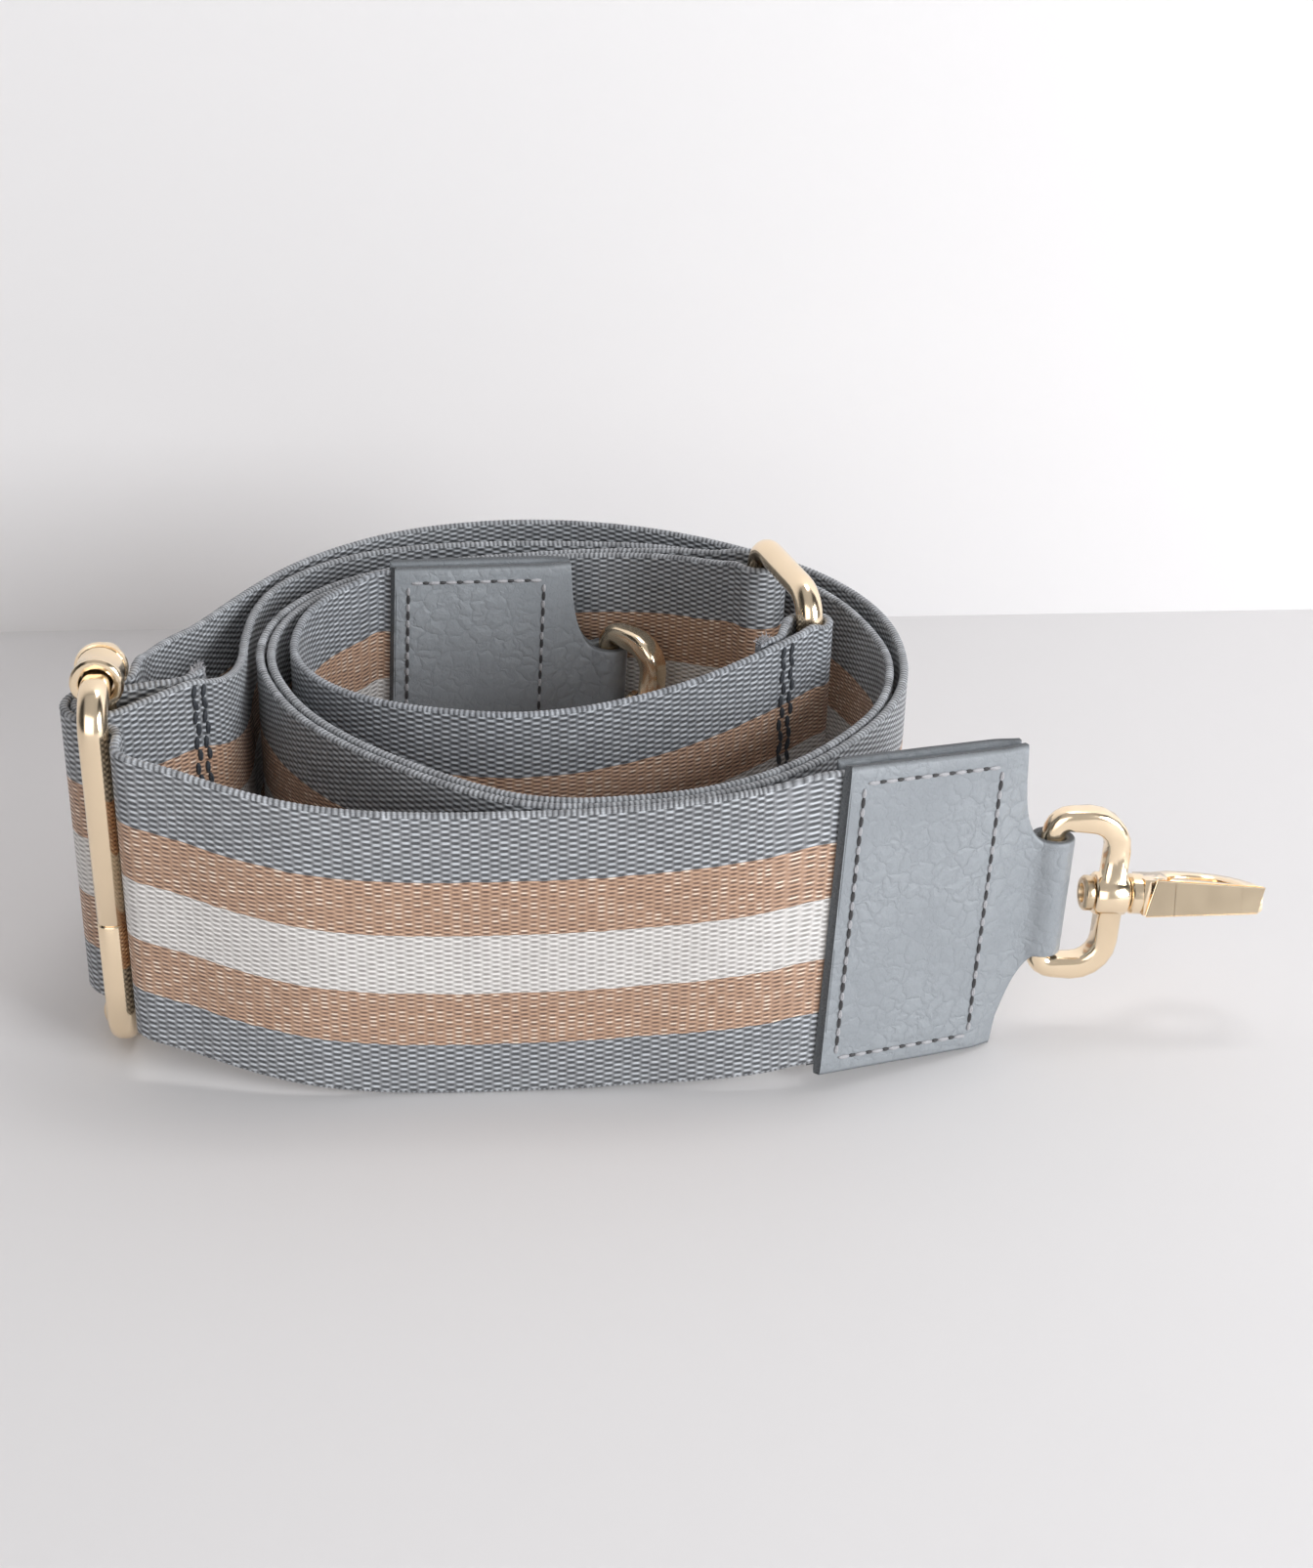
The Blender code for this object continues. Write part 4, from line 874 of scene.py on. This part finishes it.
class StrapMetal(bpy.types.PropertyGroup):
    """Colours and polish of the metal."""
    gold: bpy.props.FloatVectorProperty(
        name="Gold", description="Pale gold plate", default=(1.0, 0.81, 0.575), subtype="COLOR")
    pin: bpy.props.FloatVectorProperty(
        name="Pin gold", description="Duller gold of the posts and pins",
        default=(0.72, 0.57, 0.39), subtype="COLOR")
    steel: bpy.props.FloatVectorProperty(
        name="Steel", description="Spring steel", default=(0.50, 0.50, 0.50), subtype="COLOR")
    polish: bpy.props.FloatProperty(
        name="Roughness", description="Roughness of the gold plate", default=0.17, subtype="FACTOR")


class StrapStage(bpy.types.PropertyGroup):
    """Camera, light and background."""
    focal: bpy.props.FloatProperty(
        name="Focal length", description="Focal length on a 36 mm wide sensor",
        default=64.286, subtype="DISTANCE_CAMERA")
    camera_place: bpy.props.FloatVectorProperty(
        name="Camera place", description="Where the camera stands",
        default=(-0.0038, -0.35674, 0.21903), subtype="TRANSLATION")
    pitch: bpy.props.FloatProperty(
        name="Pitch", description="How far down the camera looks",
        default=math.radians(28.5), subtype="ANGLE")
    roll: bpy.props.FloatProperty(
        name="Roll", description="Turn of the camera about its view",
        default=math.radians(1.5), subtype="ANGLE")
    wall: bpy.props.FloatVectorProperty(
        name="Wall", description="Colour of the backdrop", default=(0.755, 0.74, 0.74), subtype="COLOR")
    floor: bpy.props.FloatVectorProperty(
        name="Floor", description="Colour of the floor", default=(0.715, 0.70, 0.70), subtype="COLOR")


# Materials by name, and each webbing's finished route
LOOKS = {}
ROUTES = {}


def looks():
    """The materials, made once."""
    if not LOOKS:
        webbing = bpy.context.scene.strap_webbing
        leather = bpy.context.scene.strap_leather
        metal = bpy.context.scene.strap_metal
        LOOKS["long"] = webbing_look("long_webbing_weave", webbing, tuple(webbing.grey))
        # The short webbing takes the darker grey: painted shade
        LOOKS["short"] = webbing_look("short_webbing_shaded_weave", webbing, tuple(webbing.shaded_short_grey))
        LOOKS["leather"] = leather_look("pebbled_leather", leather)
        LOOKS["gold"] = metal_look("pale_gold_plate", tuple(metal.gold), metal.polish)
        LOOKS["pin"] = metal_look("dull_gold_plate", tuple(metal.pin), metal.polish * 1.5)
        LOOKS["steel"] = metal_look("spring_steel_wire", tuple(metal.steel), 0.3)
        LOOKS["seam"] = thread_look("seam_thread", tuple(webbing.thread))
        LOOKS["thread"] = thread_look("pale_tab_thread", tuple(leather.thread))
        # Dark ovals of painted shade in the tabs' stitch holes
        LOOKS["dark_thread"] = thread_look("painted_stitch_hole_shade", tuple(leather.dark_thread))
    return LOOKS


# Operators

class STRAP_OT_webbing(bpy.types.Operator):
    """Weaves the long webbing in one piece and the short webbing"""
    bl_idname = "bag_strap.webbing"
    bl_label = "Webbing"

    def execute(self, context):
        webbing = context.scene.strap_webbing
        made = looks()
        outer_eye = Vector(JOINTS["outer_eye_hinge"]["pos_m"])
        inner_eye = Vector(JOINTS["inner_eye_hinge"]["pos_m"])
        route = stations_of("webbing_front_run", outer_eye)
        for node in ("webbing_outer_lap", "webbing_inner_lap"):
            route += stations_of(node, Vector(route[-1][:3]))
        ROUTES["long"] = webbing_strip(
            "long_webbing", route, webbing, made["long"],
            ("webbing_front_run", "webbing_outer_lap", "webbing_inner_lap"))
        ROUTES["short"] = webbing_strip(
            "short_webbing_strip", stations_of("short_webbing", inner_eye), webbing,
            made["short"], ("short_webbing",))
        return {"FINISHED"}


class STRAP_OT_tabs(bpy.types.Operator):
    """Folds and stitches the two leather tabs"""
    bl_idname = "bag_strap.tabs"
    bl_label = "Leather tabs"

    def execute(self, context):
        leather = context.scene.strap_leather
        made = looks()
        for which in SIDES:
            leather_tab(which, leather, made["leather"])
            tab_stitches(which, leather, made)
        return {"FINISHED"}


class STRAP_OT_slider(bpy.types.Operator):
    """Makes the slider's frame and its centre bar"""
    bl_idname = "bag_strap.slider"
    bl_label = "Slider"

    def execute(self, context):
        made = looks()
        low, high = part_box("slider_frame")
        slide = JOINTS["centre_bar_slide"]
        matrix = joint_frame((low + high) / 2, slide["axis"], (0, 0, 1))
        section = rod_section(SLIDER_ROD, SLIDER_ROD, SLIDER_SQUARENESS)
        height = (high - low).z - SLIDER_ROD
        shape = rod_frame(matrix, SLIDER_DEPTH, height, FRAME_CORNER, section, SEAM_HEIGHT)
        finish("slider_frame_rod", shape, made["gold"], "strap", ("slider_frame",))
        refined("slider_bar_and_collars", "slider_centre_bar", made["gold"],
                "slider_bar", BAR_BEVEL)
        return {"FINISHED"}


class STRAP_OT_ring(bpy.types.Operator):
    """Makes the adjuster ring"""
    bl_idname = "bag_strap.ring"
    bl_label = "Adjuster ring"

    def execute(self, context):
        made = looks()
        low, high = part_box("adjuster_ring")
        middle = (low + high) / 2
        hinge = Vector(JOINTS["ring_rock"]["pos_m"])
        run = middle - hinge
        run.z = 0
        matrix = joint_frame(middle, run, (0, 0, 1))
        section = rod_section(RING_ROD, RING_ROD, 1)
        shape = rod_frame(matrix, RING_DEPTH, (high - low).z - RING_ROD, FRAME_CORNER, section)
        finish("adjuster_ring_rod", shape, made["gold"], "ring", ("adjuster_ring",))
        return {"FINISHED"}


class STRAP_OT_hooks(bpy.types.Operator):
    """Makes both swivel hooks with their eyes, posts, gates, pins and springs"""
    bl_idname = "bag_strap.hooks"
    bl_label = "Swivel hooks"

    def execute(self, context):
        made = looks()
        for which in SIDES:
            for name, node, look, body, slot, bevel in HOOK_PIECES:
                refined(which + name, which + "_hook_" + node, made[look], which + body, bevel)
            self.plates(which, made["gold"])
        return {"FINISHED"}

    def plates(self, which, look):
        """The hook's outer plate with slanted ends; its middle rides on the gate."""
        hinge = JOINTS[which + "_eye_hinge"]["pos_m"]
        matrix = joint_frame(hinge, JOINTS[which + "_hook_swivel"]["axis"],
                             JOINTS[which + "_gate_hinge"]["axis"])
        hook = which + "_hook"
        gap = PLATE_CUT_GAP / 2
        first, second = PLATE_CUTS
        for name, body, start, end, slant_start, slant_end in (
                ("_heel_plate", hook, PLATE_HEEL, first - gap, PLATE_SLANT, 0),
                ("_gate_cover", which + "_gate", first + gap, second - gap, 0, 0),
                ("_nose_plate", hook, second + gap, PLATE_TIP, 0, PLATE_NOSE_SLANT)):
            shape = bmesh.new()
            bmesh.ops.create_cube(shape, size=1)
            for vertex in shape.verts:
                x, y, z = vertex.co
                place = end if x > 0 else start
                share = (place - PLATE_HEEL) / (PLATE_TIP - PLATE_HEEL)
                half = PLATE_HEEL_HALF + (PLATE_TIP_HALF - PLATE_HEEL_HALF) * share
                if x > 0 and z > 0:
                    place -= slant_end
                if x < 0 and z < 0:
                    place += slant_start
                vertex.co = matrix @ Vector((place, PLATE_FACE + (y + 0.5) * PLATE_THICKNESS,
                                             half * (1 if z > 0 else -1)))
            bmesh.ops.bevel(shape, geom=shape.edges[:], offset=PLATE_BEVEL, offset_type="OFFSET",
                            affect="EDGES", segments=3, profile=0.5, material=-1)
            finish(which + name, shape, look, body)


class STRAP_OT_seams(bpy.types.Operator):
    """Sews the two folds down with two rows of stitches each and frays the cut ends"""
    bl_idname = "bag_strap.seams"
    bl_label = "Fold seams"

    def execute(self, context):
        webbing = context.scene.strap_webbing
        made = looks()
        for name, route, slot in (("slider_fold", "long", "long_webbing"),
                                  ("ring_fold", "short", "short_webbing")):
            places, line = ROUTES[route]
            shape = bmesh.new()
            for from_end in SEAM_ROWS:
                index = int(np.argmin(np.abs(places - (places[-1] - from_end))))
                away = np.linalg.norm(line[:, :2] - line[index, :2], axis=1)
                away[places > places[index] - FOLD_NEAREST] = 1
                away[places < places[index] - FOLD_FARTHEST] = 1
                under = int(np.argmin(away))
                for layer, other in ((index, under), (under, index)):
                    self.row(shape, line, layer, other, webbing)
            finish(name + "_seam", shape, made["seam"], "strap")
            self.fray(name, line, made, slot)
        return {"FINISHED"}

    def row(self, shape, line, index, other, webbing):
        """One row of stitches across a layer, on the side that faces away from the other layer."""
        foot = Vector(line[index][:3])
        head = Vector(line[index][3:])
        run = Vector(line[index + 1][:3]) - Vector(line[index - 1][:3])
        side = left_of(run).normalized()
        towards = Vector(line[other][:3]) - foot
        out = side if side.dot(towards) < 0 else -side
        offset = out * (webbing.thickness / 2)
        up = (head - foot).normalized() * SEAM_MARGIN
        stitch_line(shape, foot + offset + up, head + offset - up, out,
                    SEAM_PITCH, SEAM_FILL, SEAM_WIDTH, stray=SEAM_STRAY)

    def fray(self, name, line, made, slot):
        """Short loose yarn ends along the cut, longer at its upper corner."""
        dice = random.Random(len(name))
        foot = Vector(line[-1][:3])
        head = Vector(line[-1][3:])
        run = (foot - Vector(line[-3][:3])).normalized()
        side = left_of(run)
        thick, thin = FRAY_RADII
        shape = bmesh.new()
        for number in range(FRAY_YARNS):
            corner = number % 2
            share = 1 - dice.random() ** 2 * FRAY_CORNER_SHARE if corner else dice.uniform(0.005, 0.995)
            start = foot + (head - foot) * share
            start += side * dice.uniform(-FRAY_SIDE, FRAY_SIDE) * MM
            start -= run * dice.uniform(*(FRAY_CORNER_DEPTHS if corner else FRAY_DEPTHS)) * MM
            aim = run * dice.uniform(-0.2, 1) + side * dice.uniform(-0.7, 0.7)
            aim += Vector((0, 0, dice.uniform(0.1, 1.1) if corner else dice.uniform(-0.5, 0.5)))
            reach = dice.uniform(*FRAY_LENGTHS) * MM
            cone = bmesh.ops.create_cone(shape, cap_ends=True, segments=4,
                                         radius1=thick, radius2=thin, depth=reach)
            turn = aim.to_track_quat("Z", "Y").to_matrix().to_4x4()
            matrix = Matrix.Translation(start + aim.normalized() * reach * 0.4) @ turn
            bmesh.ops.transform(shape, matrix=matrix, verts=cone["verts"])
        finish(name + "_frayed_end", shape, made["thread"], "strap")


class STRAP_OT_stage(bpy.types.Operator):
    """Sets the pale stage, the lamps and the camera"""
    bl_idname = "bag_strap.stage"
    bl_label = "Stage"

    def execute(self, context):
        stage = context.scene.strap_stage
        self.backdrop(stage)
        self.lamps(context.scene)
        self.world(context.scene)
        self.camera(context.scene, stage)
        return {"FINISHED"}

    def backdrop(self, stage):
        for name, look, place, turned, tilt in (
                ("floor", plain_look("floor_cloth", tuple(stage.floor), 0.8), (0, 0, 0), 0, 0),
                ("wall", plain_look("wall_paint", tuple(stage.wall), 0.9, True),
                 WALL_PLACE, WALL_TURN, math.pi / 2)):
            shape = bmesh.new()
            bmesh.ops.create_grid(shape, x_segments=1, y_segments=1, size=STAGE_HALF)
            turn = Matrix.Rotation(turned, 3, "Z") @ Matrix.Rotation(tilt, 3, "X")
            bmesh.ops.rotate(shape, cent=(0, 0, 0), matrix=turn, verts=shape.verts)
            bmesh.ops.translate(shape, vec=place, verts=shape.verts)
            mesh = bpy.data.meshes.new(name)
            shape.to_mesh(mesh)
            shape.free()
            sheet = bpy.data.objects.new(name, mesh)
            mesh.materials.append(look)
            bpy.context.scene.collection.objects.link(sheet)

    def lamps(self, scene):
        for name, place, size, power, colour in LAMPS:
            data = bpy.data.lights.new(name, "AREA")
            data.shape = "SQUARE"
            data.size = size
            data.energy = power
            data.color = colour
            lamp = bpy.data.objects.new(name, data)
            lamp.location = place
            lamp.rotation_euler = (-Vector(place)).to_track_quat("-Z", "Y").to_euler()
            scene.collection.objects.link(lamp)

    def world(self, scene):
        """Studio light from the sides, and a pale world where the camera sees past the stage."""
        world = bpy.data.worlds.new("studio")
        scene.world = world
        world.use_nodes = True
        graph = Graph(world.node_tree)
        back = graph.tree.nodes["Background"]
        aside = graph.add("SeparateXYZ", {}, graph.add("TexCoord", {})).absolute()
        stops = [(place, (level, level, level * WORLD_BLUE)) for place, level in WORLD_STOPS]
        graph.connect(back.inputs[0], graph.add("ValToRGB", {"stops": stops}, aside))
        graph.connect(back.inputs[1], WORLD_STRENGTH)
        studio = Maths(graph, back.outputs[0])
        pale = graph.add("Background", {}, WORLD_SEEN)
        camera_ray = graph.add("LightPath", {})
        mixed = graph.add("MixShader", {}, camera_ray, studio, pale)
        graph.connect(graph.tree.nodes["World Output"].inputs[0], mixed)

    def camera(self, scene, stage):
        data = bpy.data.cameras.new("camera")
        data.sensor_fit = "HORIZONTAL"
        data.sensor_width = 36
        data.lens = stage.focal
        data.clip_start = 0.01
        camera = bpy.data.objects.new("camera", data)
        camera.matrix_world = (
            Matrix.Translation(stage.camera_place) @ Matrix.Rotation(math.pi / 2 - stage.pitch, 4, "X")
            @ Matrix.Rotation(stage.roll, 4, "Z")
        )
        scene.collection.objects.link(camera)
        scene.camera = camera
        scene.view_settings.view_transform = "Standard"


class STRAP_PT_panel(bpy.types.Panel):
    """Buttons for each group of pieces"""
    bl_label = "Rolled bag strap"
    bl_space_type = "VIEW_3D"
    bl_region_type = "UI"
    bl_category = "Strap"

    def draw(self, context):
        for operator in OPERATORS:
            self.layout.operator(operator.bl_idname)


GROUPS = {"strap_webbing": StrapWebbing, "strap_leather": StrapLeather, "strap_metal": StrapMetal,
          "strap_stage": StrapStage}
OPERATORS = (STRAP_OT_stage, STRAP_OT_webbing, STRAP_OT_slider, STRAP_OT_ring, STRAP_OT_hooks,
             STRAP_OT_tabs, STRAP_OT_seams)


def register():
    for item in (*GROUPS.values(), *OPERATORS, STRAP_PT_panel):
        bpy.utils.register_class(item)
    for name, group in GROUPS.items():
        setattr(bpy.types.Scene, name, bpy.props.PointerProperty(type=group))


def unregister():
    for name in GROUPS:
        delattr(bpy.types.Scene, name)
    for item in (STRAP_PT_panel, *reversed(OPERATORS), *reversed(GROUPS.values())):
        bpy.utils.unregister_class(item)


def main():
    register()
    for operator in OPERATORS:
        group, name = operator.bl_idname.split(".")
        getattr(getattr(bpy.ops, group), name)()


if __name__ == "__main__":
    main()
